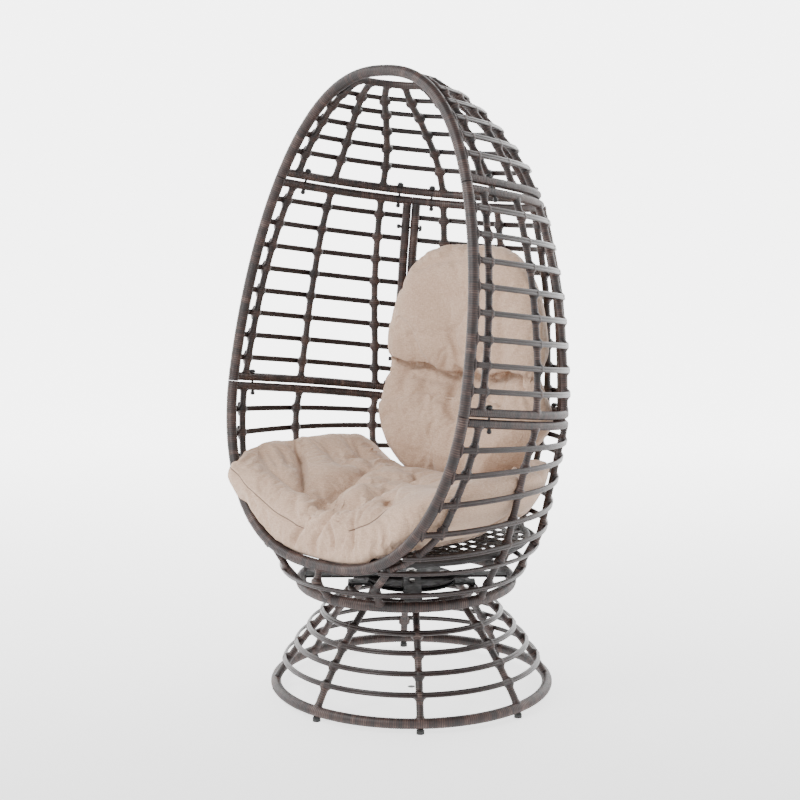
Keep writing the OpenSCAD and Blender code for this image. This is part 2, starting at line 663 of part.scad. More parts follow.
// The deck's rim runs inside the ribs and behind the front hoop
rim_r = 8;
rim_sides = 8;
deck_in = flat(rib_r, rib_sides) + flat(rim_r, rim_sides) + seat_gap + 2.4;
deck_h = deck_z - 0.5 * deck_in;
rim_behind = 14.5;
deck_front = -front_reach + front_r + rim_behind;
deck_angles = [-90 : 10 : 260];
function deck_point(f) =
    let (p = shell(deck_h, f, -deck_in)) [p[0], max(p[1], deck_front), deck_z];
module seat_deck_rim() {
    color("#1c1b1b") loop_skin([for (f = deck_angles)
        round_ring(deck_point(f), [cos(f), sin(f), 0], [0, 0, 1], rim_r, rim_sides)]);
}
// The net is laced inside the rim
net_t = 3;
function net_point(f) =
    let (p = deck_point(f), d = unit(deck_point(f + 5) - deck_point(f - 5)),
         in = flat(rim_r, rim_sides) + seat_gap + 0.2)
    [p[0] - in * d[1], p[1] + in * d[0]];
module seat_deck_net() {
    far = 400;
    lines = floor(far / net_pitch);
    color("#1c1b1b") translate([0, 0, deck_z - net_t / 2]) linear_extrude(net_t) intersection() {
        polygon([for (f = deck_angles) net_point(f)]);
        union() {
            for (i = [-lines : lines]) {
                translate([i * net_pitch - net_strap / 2, -far]) square([net_strap, 2 * far]);
                translate([-far, i * net_pitch - net_strap / 2]) square([2 * far, net_strap]);
            }
        }
    }
}

// ---------- Wall panels ----------

module mirrored(side) {
    if (side < 0) mirror([1, 0, 0]) children();
    else children();
}
module side_front_tube() {
    path = front_path(lower_joint + joint_gap / 2, upper_joint - joint_gap / 2, 10);
    tube(path, [for (p = path) front_n], front_r, front_sides);
}
// Rails run from the front tube to the far side of the corner post
module side_rail(h, joint, bolts) {
    difference() {
        rail(h, front_stop(h, rail_r), shift_phi(h, corner_phi, -joint_gap / 2), 8);
        for (f = [bolts[0], bolts[1]]) bolt_hole(joint, f);
    }
}
module back_rail(h, joint, bolts) {
    a = shift_phi(h, corner_phi, joint_gap / 2);
    difference() {
        rail(h, a, 180 - a, 12);
        for (f = [bolts[2], bolts[3]]) bolt_hole(joint, f);
    }
}
module panel_rib(i) {
    rib(i, bottom_rail_h, rail_end, panel_hoops, top_rail_h, rail_end);
}
module side_ribs() {
    for (i = [0 : 2]) panel_rib(i);
}
module side_hoops() {
    for (h = panel_hoops) {
        a = strip_front(h);
        b = post_stop(h, -1);
        strip(h, concat([a], spaced(rib_phi(0, h), rib_phi(1, h), 2),
            [for (f = spaced(rib_phi(1, h), rib_phi(2, h), 4)) if (f > rib_phi(1, h) + 0.1) f], [b]));
    }
}

module left_front_tube() { color("#4a3a35") mirrored(-1) side_front_tube(); }
module left_post() { color("#4a3a35") mirrored(-1) difference() { post(-1); post_holes(); } }
module left_top_rail() { color("#4a3a35") mirrored(-1) side_rail(top_rail_h, upper_joint, upper_bolts); }
module left_bottom_rail() { color("#4a3a35") mirrored(-1) side_rail(bottom_rail_h, lower_joint, lower_bolts); }
module left_ribs() { color("#4a3a35") mirrored(-1) side_ribs(); }
module left_hoops() { color("#4a3a35") mirrored(-1) side_hoops(); }
module right_front_tube() { color("#4a3a35") side_front_tube(); }
module right_post() { color("#4a3a35") difference() { post(-1); post_holes(); } }
module right_top_rail() { color("#4a3a35") side_rail(top_rail_h, upper_joint, upper_bolts); }
module right_bottom_rail() { color("#4a3a35") side_rail(bottom_rail_h, lower_joint, lower_bolts); }
module right_ribs() { color("#4a3a35") side_ribs(); }
module right_hoops() { color("#4a3a35") side_hoops(); }

module back_left_post() { color("#4a3a35") mirrored(-1) difference() { post(1); post_holes(); } }
module back_right_post() { color("#4a3a35") difference() { post(1); post_holes(); } }
module back_top_rail() { color("#4a3a35") back_rail(top_rail_h, upper_joint, upper_bolts); }
module back_bottom_rail() { color("#4a3a35") back_rail(bottom_rail_h, lower_joint, lower_bolts); }
module back_ribs() { color("#4a3a35") for (i = [3 : 5]) panel_rib(i); }
module back_hoops() {
    color("#4a3a35") for (h = panel_hoops) {
        a = post_stop(h, 1);
        half = concat([a], spaced(rib_phi(3, h), 90, 2));
        strip(h, concat(half, [for (i = [len(half) - 2 : -1 : 0]) 180 - half[i]]));
    }
}

// Bolts through each pair of posts
post_bolt_drop = 25;
post_bolt_rise = 30;
post_bolt_h = [panel_hoops[0] - post_bolt_drop, panel_hoops[hoop_count - 1] + post_bolt_rise];
module at_post(h) {
    dir = along(h, corner_phi);
    translate(shell(h, corner_phi)) rotate([0, 0, atan2(dir[1], dir[0])])
        rotate([0, -asin(dir[2]), 0]) rotate([0, 90, 0]) children();
}
module post_holes() {
    for (h = post_bolt_h) at_post(h)
        cylinder(d = bolt_d + 2 * bolt_play, h = 4 * post_d, center = true, $fn = 24);
}
post_grip = 2 * post_d + joint_gap;
module post_bolts() {
    color("#1c1b1b") for (side = [-1, 1]) mirrored(side) for (h = post_bolt_h) at_post(h) bolt(post_grip);
}
module post_nuts() {
    color("#1c1b1b") for (side = [-1, 1]) mirrored(side) for (h = post_bolt_h) at_post(h) cap_nut(post_grip);
}

// ---------- Dome ----------

module dome_arch() {
    half = front_path(upper_joint + joint_gap / 2, egg_top - 0.001, 14);
    path = concat(half, [for (i = [1 : len(half) - 1]) let (p = half[len(half) - 1 - i]) [-p[0], p[1], p[2]]]);
    color("#4a3a35") front_tube_path(path);
}
module dome_rail() {
    color("#4a3a35") difference() {
        let (a = front_stop(dome_rail_h, rail_r)) rail(dome_rail_h, a, 180 - a, 26);
        for (f = upper_bolts) bolt_hole(upper_joint, f);
    }
}
module dome_crown_bar() {
    a = front_stop(crown_h, crown_d / 2);
    color("#4a3a35") rail(crown_h, a, 180 - a, 14, crown_d / 2);
}
module dome_ribs() {
    color("#4a3a35") for (i = [0 : 8])
        rib(i, dome_rail_h, dome_rail_end, dome_hoop_h, crown_h, crown_end);
}
module dome_hoops() {
    color("#4a3a35") for (h = dome_hoop_h) strip(h, round_strip(h, strip_front(h)));
}

// ---------- Rail bolts ----------

module joint_bolts(h, bolts) {
    color("#1c1b1b") for (f = bolts) at_joint(h, f) bolt(joint_grip(h, f));
}
module joint_nuts(h, bolts) {
    color("#1c1b1b") for (f = bolts) at_joint(h, f) cap_nut(joint_grip(h, f));
}
module upper_joint_bolts() { joint_bolts(upper_joint, upper_bolts); }
module upper_joint_nuts() { joint_nuts(upper_joint, upper_bolts); }
module lower_joint_bolts() { joint_bolts(lower_joint, lower_bolts); }
module lower_joint_nuts() { joint_nuts(lower_joint, lower_bolts); }

// ---------- Cushions ----------

// Closed pad from two point functions: rows of rings about a centre, joined at the edge
module pad(top_rings, bottom_rings, top_mid, bottom_mid) {
    n = len(top_rings[0]);
    m = len(top_rings);
    b = len(bottom_rings);
    points = concat([top_mid], [for (r = top_rings) for (p = r) p],
        [for (r = bottom_rings) for (p = r) p], [bottom_mid]);
    last = len(points) - 1;
    // Rings run from the top's centre out over the edge and in to the bottom's centre
    rows = m + b;
    polyhedron(points, concat(
        [for (k = [0 : n - 1]) [0, 1 + (k + 1) % n, 1 + k]],
        [for (i = [0 : rows - 2]) for (k = [0 : n - 1])
            let (p = 1 + i * n + k, q = 1 + i * n + (k + 1) % n)
            each [[p, q, p + n], [q, q + n, p + n]]],
        [for (k = [0 : n - 1])
            let (p = 1 + (rows - 1) * n + k, q = 1 + (rows - 1) * n + (k + 1) % n) [p, q, last]]),
        convexity = 6);
}

// Seat cushion: a wide pad that fills the bowl, its sides turned up along the walls
// and its front edge lying behind and over the front tube
pad_n = 40;
pad_rows = 11;
pad_wall_gap = 11.3;
pad_over_tube = 2;
pad_off_back = 61.6;
seat_pad_w = half_w(seat_pad_side) - rib_r - pad_wall_gap;
seat_pad_y = -25;
seat_pad_front = front_reach + seat_pad_y + pad_over_tube;
seat_pad_front_z = deck_z + 54;
seat_pad_back_z = deck_z + 69;
seat_pad_back = back_y(seat_pad_back_z) - seat_pad_y - rib_r - pad_off_back;
seat_pad_mid = deck_z + net_t / 2 + seat_gap + seat_pad_t / 2;
// Tufts: place, depth as a share of the crown, radius
TUFTS = [[-112, -194, 0.5, 58], [75, -165, 0.26, 34], [230, -90, 0.24, 36], [-240, 60, 0.2, 36]];
function dent(p, t) = t[2] * exp(-pow(norm(p - [t[0], t[1]]) / t[3], 2));
function tufted(p) = 1 - [for (t = TUFTS) dent(p, t)] * [for (t = TUFTS) 1];
// Distance to a superellipse of power n in the direction of c and s
function squircle(c, s, n) = pow(pow(abs(c), n) + pow(abs(s), n), -1 / n);
function seat_edge(a) =
    let (c = cos(a), s = sin(a), k = squircle(c, s, s < 0 ? 3.3 : 2.4), x = seat_pad_w * c * k)
    [x, seat_pad_y + (s < 0 ? seat_pad_front : seat_pad_back) * s * k,
     s < 0 ? mix(seat_pad_front_z, seat_pad_side, pow(abs(x) / seat_pad_w, 2.8))
     : mix(seat_pad_side, seat_pad_back_z, ease(1.15 * s))];
// The rear of the crown, pressed down by the back cushion
pad_press = 0.4;
pad_press_y = [20, 170];
function seat_pad_point(a, r, side) =
    let (e = seat_edge(a), x = e[0] * r, y = mix(seat_pad_y, e[1], r), p = [x, y],
         mid = mix(seat_pad_mid, e[2], pow(r, 4)),
         fold = 1 + 0.05 * cos(7 * a + 20) * pow(sin(180 * r), 2),
         press = 1 - pad_press * ease((y - pad_press_y[0]) / (pad_press_y[1] - pad_press_y[0])),
         top = mid + seat_pad_t / 2 * pow(1 - pow(r, 5), 0.5) * fold * tufted(p) * press,
         // The underside is boxed in front, and passes over the deck's rim
         box = mix(5, 24, ease((-sin(a) - 0.72) / 0.25)),
         under = mid - seat_pad_t / 2 * pow(1 - pow(r, box), 0.5),
         rest = mix(deck_z + net_t / 2 + seat_gap, deck_z + rim_r + seat_gap + 1, ease((r - 0.6) / 0.25)))
    [x, y, side > 0 ? top : r < 1 ? max(under, rest) : mid];
module seat_cushion() {
    angles = [for (k = [0 : pad_n - 1]) 360 * k / pad_n];
    shares = [for (i = [1 : pad_rows]) sin(90 * i / pad_rows)];
    color("#c9b8a4") pad(
        [for (r = shares) [for (a = angles) seat_pad_point(a, r, 1)]],
        [for (i = [pad_rows - 2 : -1 : 0]) [for (a = angles) seat_pad_point(a, shares[i], -1)]],
        seat_pad_point(0, 0, 1), seat_pad_point(0, 0, -1));
}

// Back cushion: follows the back wall, pinched across into a head lobe and a lower lobe
back_pad_gap = flat(rail_r, rail_sides) + seat_gap + 0.3;
pinch_h = mix(back_pad_low, back_pad_high, 0.54);
pinch_l = 38;
// Half width of the cushion, in degrees round the wall, at its lower and upper edge
back_pad_turn = [47, 42];
function back_pad_place(a, r) =
    let (e = 2 / 3, u = r * pow_s(cos(a), e), v = r * pow_s(sin(a), e),
         h = mix(back_pad_low, back_pad_high, (v + 1) / 2))
    [h, 90 - u * mix(back_pad_turn[0], back_pad_turn[1], (v + 1) / 2)];
function back_pad_point(a, r, side) =
    let (q = back_pad_place(a, r), h = q[0],
         crown = pow(1 - pow(r, sin(a) < 0 ? 6 : 4), 0.5),
         pinch = 1 - 0.5 * exp(-pow((h - pinch_h) / pinch_l, 2)),
         slouch = back_pad_slouch * ease((seat_rail_h - h) / (0.7 * (seat_rail_h - back_pad_low))),
         depth = back_pad_gap + slouch + back_pad_t / 2 * (1 - (side > 0 ? -1 : 1) * crown * pinch))
    shell(h, q[1], -depth);
module back_cushion() {
    angles = [for (k = [0 : pad_n - 1]) 360 * k / pad_n];
    shares = [for (i = [1 : pad_rows]) sin(90 * i / pad_rows)];
    color("#c9b8a4") pad(
        [for (r = shares) [for (a = angles) back_pad_point(a, r, 1)]],
        [for (i = [pad_rows - 2 : -1 : 0]) [for (a = angles) back_pad_point(a, shares[i], -1)]],
        back_pad_point(0, 0, 1), back_pad_point(0, 0, -1));
}

floor_ring();
stand_ribs();
stand_hoops();
stand_top_ring();
stand_cross_arms();
feet();
swivel_lower_plate();
swivel_balls();
swivel_king_pin();
swivel_lock_nut();
swivel_lower_bolts();
swivel_upper_plate();
swivel_upper_bolts();
seat_cross_arms();
seat_bottom_ring();
seat_front_tube();
seat_top_rail();
seat_ribs();
seat_hoops();
seat_deck_rim();
seat_deck_net();
left_front_tube();
left_post();
left_top_rail();
left_bottom_rail();
left_ribs();
left_hoops();
right_front_tube();
right_post();
right_top_rail();
right_bottom_rail();
right_ribs();
right_hoops();
back_left_post();
back_right_post();
back_top_rail();
back_bottom_rail();
back_ribs();
back_hoops();
dome_arch();
dome_rail();
dome_crown_bar();
dome_ribs();
dome_hoops();
upper_joint_bolts();
upper_joint_nuts();
lower_joint_bolts();
lower_joint_nuts();
post_bolts();
post_nuts();
seat_cushion();
back_cushion();
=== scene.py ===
import math

import bpy
import numpy as np
from mathutils import Matrix, Vector
from mathutils.bvhtree import BVHTree


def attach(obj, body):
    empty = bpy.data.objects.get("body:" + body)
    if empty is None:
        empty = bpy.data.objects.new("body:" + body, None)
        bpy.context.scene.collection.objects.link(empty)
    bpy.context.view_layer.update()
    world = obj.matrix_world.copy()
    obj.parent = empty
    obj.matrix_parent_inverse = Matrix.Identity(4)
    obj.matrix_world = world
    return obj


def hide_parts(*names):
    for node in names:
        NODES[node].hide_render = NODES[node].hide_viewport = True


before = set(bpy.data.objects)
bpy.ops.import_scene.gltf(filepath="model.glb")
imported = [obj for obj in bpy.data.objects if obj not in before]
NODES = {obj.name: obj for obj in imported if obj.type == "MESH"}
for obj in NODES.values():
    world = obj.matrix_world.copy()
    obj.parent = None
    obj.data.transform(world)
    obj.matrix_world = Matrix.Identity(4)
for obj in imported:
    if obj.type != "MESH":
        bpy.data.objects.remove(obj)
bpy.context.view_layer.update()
SCENE = bpy.context.scene
MM = 0.001

# ---- sizes, in mm, as in the CAD
EGG_HALF_W, EGG_TOP, EGG_BOTTOM, EGG_WAIST = 412.5, 1614.0, 396.0, 838.0
EGG_POWERS = (2.68, 2.4)
FRONT_REACH, FRONT_LEAN, BACK_REACH, HOOP_FALL = 334.0, 0.19, 357.0, 0.152
CROWN_REACH, SEAT_HEIGHT, DOME_HEIGHT = 20.0, 414.0, 267.0
# Where the bowl, the walls and the dome meet
LOWER, UPPER = EGG_BOTTOM + SEAT_HEIGHT, EGG_TOP - DOME_HEIGHT
JOINT_GAP, RAIL_GAP = 0.8, 3.0
FRONT_R, RAIL_R, POST_R, RIB_R, CROWN_R = 14.0, 11.0, 12.0, 8.5, 9.5
STRIP_H, STRIP_T = 13.0, 7.0
RING_R, RING_Z, RING_TUBE_R, RING_FRONT = 276.0, 302.0, 14.0, 21.0
FLOOR_R, FLOOR_TUBE_R, TOP_R, TOP_Z, TOP_TUBE_R = 360.0, 13.5, 160.0, 275.0, 10.0
STAND_RIB_R, STAND_BOW, FOOT_H = 9.0, 950.0, 12.0
# Heights of the bowl's two lowest hoops
T6 = EGG_BOTTOM + 24
T7 = RING_Z + (T6 - RING_Z) * 0.424
STRIP_IN = RIB_R * math.cos(math.pi / 6) + 0.7
STRIP_OFF = STRIP_IN + STRIP_T / 2
BOWL_OUT, KNEE_OUT = 0.9, 2.0
CORNER_PHI = 49.0
POST_PITCH = 2 * POST_R + JOINT_GAP
RAIL_STEP = RAIL_R + RAIL_GAP / 2
DOME_RAIL_H, TOP_RAIL_H = UPPER + RAIL_STEP, UPPER - RAIL_STEP
BOTTOM_RAIL_H, SEAT_RAIL_H = LOWER + RAIL_STEP, LOWER - RAIL_STEP
PANEL_HOOPS = [UPPER - 58 - i * (UPPER - LOWER - 120.5) / 7 for i in range(8)]
SEAT_HOOPS = [T6 + (LOWER - T6) * k for k in (0.808, 0.646, 0.467, 0.277, 0.115, 0)]
DOME_HOOPS = [UPPER + (EGG_TOP - UPPER) * k for k in (0.809, 0.697, 0.558, 0.408, 0.247)]
CROWN_H = EGG_TOP - 16
STRAND, GROOVE, STRAND_LEAN = 5.6, 0.75, 0.6
MID_BACK = -FRONT_REACH + FRONT_LEAN * (EGG_TOP - EGG_BOTTOM) + CROWN_REACH

# Stations of the shell: h, back reach share, middle share, squareness front and back, fall share
REACH, MIDDLE, FRONT_POWER, BACK_POWER, FALL = range(1, 6)
STATIONS = np.array([
    [RING_Z, (RING_R - RING_FRONT) / BACK_REACH, 0, 2, 2, 0],
    [T7, 0.775, 0.17, 2, 2, 0], [T6, 0.82, 0.305, 2.1, 2.1, 0.05],
    [SEAT_HOOPS[4], 0.845, 0.46, 2.3, 2.2, 0], [SEAT_HOOPS[3], 0.875, 0.688, 2.4, 2.2, 0.05],
    [SEAT_HOOPS[2], 0.92, 0.89, 2.5, 2.2, 0.2], [SEAT_HOOPS[1], 0.935, 1.03, 2.6, 2.25, 0.4],
    [SEAT_HOOPS[0], 0.96, 1.05, 2.6, 2.25, 0.7], [LOWER - 35, 0.98, 1, 2.6, 2.25, 1],
    [LOWER - 12, 0.99, 1, 2.6, 2.25, 1], [LOWER + 120, 1, 1, 2.6, 2.25, 1],
    [UPPER - 234, 1, 1, 2.6, 2.25, 1], [UPPER - 115, 0.97, 1, 2.6, 2.2, 1],
    [UPPER - 55, 0.945, 1, 2.6, 2.2, 1], [UPPER + 12, 0.91, 1, 2.6, 2.2, 1],
    [DOME_HOOPS[4], 0.82, 1, 2.5, 2.2, 1], [DOME_HOOPS[3], 0.715, 1, 2.5, 2.2, 1],
    [DOME_HOOPS[2], 0.58, 1, 2.4, 2.2, 1], [DOME_HOOPS[1], 0.435, 1, 2.3, 2.2, 1],
    [DOME_HOOPS[0], 0.285, 1, 2.2, 2.2, 1], [EGG_TOP - 16, 0.11, 1, 2.1, 2.1, 0.9]])
STATIONS[:, MIDDLE] = -RING_FRONT + (MID_BACK + RING_FRONT) * STATIONS[:, MIDDLE]
# Ribs: h, first rib's distance from the front hoop, angles of the second to fourth
RIBS = np.array([
    [RING_Z, 50, -4, 32, 67], [T6, 50, -1, 34, 67], [SEAT_HOOPS[3], 58, 2, 36, 67],
    [SEAT_HOOPS[2], 48, 4, 37.5, 67], [LOWER - 12, 48, 8, 39, 67],
    [LOWER + 120, 49, 9.8, 38.2, 66], [UPPER - 234, 48, 11.2, 36, 65],
    [UPPER + 12, 50, 13.5, 35.2, 63.5], [EGG_TOP - 24, 32, 20, 41, 64]])


# ---- the egg's surface
def pow_s(v, p):
    return np.sign(v) * np.abs(v) ** p


def mix(a, b, t):
    return a + (b - a) * t


def st(h, col):
    """A column of the stations at height h."""
    return np.interp(h, STATIONS[:, 0], STATIONS[:, col])


def front_t(z):
    return (z - EGG_WAIST) / np.where(z > EGG_WAIST, EGG_TOP - EGG_WAIST, EGG_WAIST - EGG_BOTTOM)


def front_w(z):
    t = front_t(z)
    return EGG_HALF_W * np.maximum(0, 1 - t ** 2) ** (1 / np.where(t > 0, EGG_POWERS[1], EGG_POWERS[0]))


def front_y(z):
    return -FRONT_REACH + FRONT_LEAN * (z - EGG_BOTTOM)


def half_d(h):
    return BACK_REACH * st(h, REACH) - st(h, MIDDLE)


def met_w(h):
    n = st(h, FRONT_POWER)
    t = (st(h, MIDDLE) - front_y(h)) / half_d(h)
    return front_w(h) / (1 - t ** n) ** (1 / n)


def half_w(h):
    h = np.asarray(h, float)
    low = mix(RING_R, half_d(T7), np.clip((h - RING_Z) / (T7 - RING_Z), 0, 1))
    mid = half_d(T7) + (met_w(np.float64(T6)) - half_d(T7)) * (h - T7) / (T6 - T7)
    top = met_w(np.maximum(h, T6))
    return np.where(h >= T6, top, np.where(h >= T7, mid, low))


def shell0(h, phi):
    """The ribs' middle surface at height h and angle phi, 90 at the back."""
    h, phi = np.broadcast_arrays(np.asarray(h, float), np.asarray(phi, float))
    c, s = np.cos(np.radians(phi)), np.sin(np.radians(phi))
    e = 2 / np.where(s < 0, st(h, FRONT_POWER), st(h, BACK_POWER))
    y = st(h, MIDDLE) + half_d(h) * pow_s(s, e)
    x = half_w(h) * pow_s(c, e)
    z = h - HOOP_FALL * st(h, FALL) * (y - front_y(np.maximum(h, EGG_BOTTOM)))
    return np.stack([x, y, z], -1)


def ease(t):
    c = np.clip(t, 0, 1)
    return c * c * (3 - 2 * c)


def unit(v):
    return v / np.maximum(np.linalg.norm(v, axis=-1, keepdims=True), 1e-9)


def along(h, phi):
    return unit(shell0(h, phi + 1) - shell0(h, phi - 1))


def outward(h, phi):
    return unit(np.cross(along(h, phi), unit(shell0(h + 6, phi) - shell0(h - 6, phi))))


def shell(h, phi, off=0.0):
    h, phi = np.broadcast_arrays(np.asarray(h, float), np.asarray(phi, float))
    return shell0(h, phi) + np.asarray(off, float)[..., None] * outward(h, phi)


def front_phi(h):
    t = np.clip((st(h, MIDDLE) - front_y(h)) / half_d(h), 0, 1)
    return -np.degrees(np.arcsin(t ** (st(h, FRONT_POWER) / 2)))


def shift_phi(h, phi, dist):
    """The angle that lies dist mm further along the hoop at h."""
    mid = phi + 1.5 * np.sign(dist)
    per = np.linalg.norm(shell0(h, mid + 0.5) - shell0(h, mid - 0.5), axis=-1)
    return phi + dist / per


def shift_h(h, phi, dist):
    step = shell0(h + np.sign(dist) * 12, phi) - shell0(h, phi)
    return h + dist / (np.linalg.norm(step, axis=-1) / 12)


FOOT_PHI = -59


def rib1(h):
    """The angle of the rib next to the front hoop."""
    h = np.asarray(h, float)
    high = np.maximum(h, T6)
    top = shift_phi(high, front_phi(high), np.interp(h, RIBS[:, 0], RIBS[:, 1]))
    foot = mix(FOOT_PHI, top, np.clip((h - T7) / (T6 - T7), 0, 1))
    return np.where(h >= T6, top, foot)


def rib_phi(i, h):
    if i == 0:
        return rib1(h)
    if i <= 3:
        return np.interp(h, RIBS[:, 0], RIBS[:, i + 1])
    return 90.0 + 0 * np.asarray(h, float) if i == 4 else 180 - rib_phi(8 - i, h)


def front_point(a):
    """Centre of the front hoop's tube at angle a in degrees; the right side is positive x."""
    s, c = np.sin(np.radians(a)), np.cos(np.radians(a))
    z = EGG_WAIST + s * np.where(s > 0, EGG_TOP - EGG_WAIST, EGG_WAIST - EGG_BOTTOM)
    x = EGG_HALF_W * pow_s(c, 2 / np.where(s > 0, EGG_POWERS[1], EGG_POWERS[0]))
    return np.stack([x, front_y(z), z], -1)


def front_angle(z):
    return math.degrees(math.asin(float(front_t(np.float64(z)))))


def tube_dir(h):
    return unit(np.array([front_w(h + 3) - front_w(h - 3), 6 * FRONT_LEAN, 6.0]))


def front_stop(h, half, off, clear):
    """Where a piece of this half width that runs off mm outside the shell meets the front hoop."""
    f = float(front_phi(h))
    s = float(np.linalg.norm(np.cross(along(h, f), tube_dir(h))))
    side = math.sqrt(max(1.0, clear * clear - off * off))
    return float(shift_phi(h, f, (side + half * math.sqrt(1 - s * s)) / s))


# ---- mesh making
def arc(path):
    """The length along a path up to each of its points."""
    return np.concatenate([[0], np.cumsum(np.linalg.norm(np.diff(path, axis=0), axis=1))])


def sample(path, s, cum):
    return np.stack([np.interp(s, cum, p) for p in path.T], 1)


def flip(p):
    return p * [-1, 1, 1]


def mesh_of(name, verts, faces):
    mesh = bpy.data.meshes.new(name)
    mesh.from_pydata((np.asarray(verts) * MM).tolist(), [], faces)
    mesh.update()
    return mesh


def mark(mesh, name, values):
    """Keeps a number or a vector for each point, for the materials."""
    kind, field = ("FLOAT", "value") if values.ndim == 1 else ("FLOAT_VECTOR", "vector")
    mesh.attributes.new(name, kind, "POINT").data.foreach_set(field, values.astype(np.float32).ravel())


def linked(name, data):
    ob = bpy.data.objects.new(name, data)
    SCENE.collection.objects.link(ob)
    return ob


class Soup:
    """Vertices, faces and point values of one object, gathered from many sweeps."""

    def __init__(self):
        self.v, self.f, self.t, self.w = [], [], [], []
        self.n = 0

    def add(self, verts, faces, tint, wind):
        self.v.append(verts)
        self.f.extend((np.asarray(f) + self.n).tolist() for f in faces)
        self.t.append(tint)
        self.w.append(wind)
        self.n += len(verts)

    def rings(self, rings, tint, wind, closed):
        """Skins a row of rings; a row that isn't closed gets a cap at each end."""
        m, n = rings.shape[:2]
        i = np.arange(m if closed else m - 1)[:, None]
        k = np.arange(n)
        j = (i + 1) % m
        faces = list(np.stack([i * n + k, i * n + (k + 1) % n, j * n + (k + 1) % n, j * n + k], -1).reshape(-1, 4))
        verts, tint, flat = rings.reshape(-1, 3), tint.reshape(-1), wind.reshape(-1, 3)
        if not closed:
            last = (m - 1) * n
            verts = np.vstack([verts, rings[0].mean(0), rings[-1].mean(0)])
            tint = np.append(tint, [0.5, 0.5])
            flat = np.vstack([flat, wind[0].mean(0), wind[-1].mean(0)])
            faces += [[m * n, (q + 1) % n, q] for q in range(n)]
            faces += [[m * n + 1, last + q, last + (q + 1) % n] for q in range(n)]
        self.add(verts, faces, tint, flat)

    def obj(self, name, mat):
        mesh = mesh_of(name, np.vstack(self.v), self.f)
        mesh.validate()
        mesh.shade_smooth()
        mark(mesh, "tint", np.concatenate(self.t))
        mark(mesh, "wind", np.vstack(self.w))
        mesh.materials.append(mat)
        return linked(name, mesh)


RNG = np.random.default_rng(20)


def wound(soup, path, out, r, sides=12, flare=None, closed=False, mirror=False):
    """A tube wound crosswise with strands. flare(s, length) gives (half width, outward, inward)
    radii along the tube, or None for a round one."""
    if mirror:
        path, out = flip(path), flip(out)
    if closed:
        path, out = np.vstack([path, path[:1]]), np.vstack([out, out[:1]])
    cum = arc(path)
    length = cum[-1]
    strands = max(2, int(round(length / STRAND)))
    pitch = length / strands
    # Three rings a strand: its edge and two on its crown
    s = (np.arange(strands)[:, None] * pitch + np.array([0.0, 0.27, 0.73]) * pitch).ravel()
    depth = np.tile([GROOVE, 0.0, 0.0], strands)
    if not closed:
        s, depth = np.append(s, length), np.append(depth, GROOVE)
    centre, outs = sample(path, s, cum), unit(sample(out, s, cum))
    t = unit(np.roll(centre, -1, 0) - np.roll(centre, 1, 0) if closed else np.gradient(centre, axis=0))
    u = unit(outs - np.sum(outs * t, 1, keepdims=True) * t)
    v = np.cross(u, t)
    half, outer, inner = (np.full(len(s), r),) * 3 if flare is None else flare(s, length)
    ang = 2 * np.pi * (np.arange(sides) + 0.5) / sides
    ca, sa = np.cos(ang), np.sin(ang)
    strand = np.minimum((np.arange(len(s)) + 1) // 3, strands)
    grow = (RNG.normal(0, 0.09, strands + 1)[strand] - depth)[:, None]
    ru = np.where(ca > 0, outer[:, None], inner[:, None]) + grow
    rv = half[:, None] + grow
    lean = STRAND_LEAN * sa * np.ones((len(s), 1))
    if not closed:
        lean = lean * np.clip(np.minimum(s, length - s) / 12, 0, 1)[:, None]
    rings = (centre[:, None] + (ru * ca)[..., None] * u[:, None] + (rv * sa)[..., None] * v[:, None]
             + lean[..., None] * t[:, None])
    tint = np.repeat(tone_list(strands + 1)[strand][:, None], sides, 1)
    # Whole strands apart, so that the bands of painted groove shade stay on the grooves
    start = STRAND * RNG.integers(0, 72)
    wind = np.stack(np.broadcast_arrays((s * STRAND / pitch + start)[:, None], rv * sa, ru * ca), -1)
    soup.rings(rings, tint, wind, closed)


def tone_list(n):
    """Strand tones from 0 to 1: short runs of like strands with odd ones between."""
    tones = np.empty(n)
    value = 0.5
    for i in range(n):
        if RNG.random() < 0.45:
            value = RNG.random()
        tones[i] = np.clip(value + RNG.normal(0, 0.10), 0, 1)
    return tones


def strip_section():
    """Two round beads, one over the other: outward and height, in mm, as a closed outline."""
    half_t, bead = STRIP_T / 2, (STRIP_H + 0.8) / 4
    outer = []
    for centre, first in ((-bead, 0), (bead, 1)):
        for k in range(first, 7):
            a = math.pi * (k / 6)
            outer.append((half_t * 0.55 + half_t * 0.5 * math.sin(a), centre - bead * math.cos(a)))
    return np.array(outer + [(-x, y) for x, y in reversed(outer)])


STRIP = strip_section()


def strip(soup, h, a, b, out=0.0):
    """Two-bead strip outside the ribs from angle a to angle b, at height h."""
    fine = np.linspace(a, b, 400)
    cum = arc(shell(h, fine, STRIP_OFF + out))
    n = max(4, int(cum[-1] / 11.0))
    f = np.interp(np.linspace(0, cum[-1], n), cum, fine)
    u = outward(h, f)
    sweep_strip(soup, shell(h, f, STRIP_OFF + out), u, -np.cross(u, along(h, f)), False)


def sweep_strip(soup, p, u, v, closed):
    rings = p[:, None] + STRIP[:, :1] * u[:, None] + STRIP[:, 1:] * v[:, None]
    wind = np.stack(np.broadcast_arrays((arc(p) + RNG.uniform(0, 500))[:, None], *STRIP.T), -1)
    soup.rings(rings, np.full((len(p), len(STRIP)), RNG.uniform(0.3, 0.7)), wind, closed)


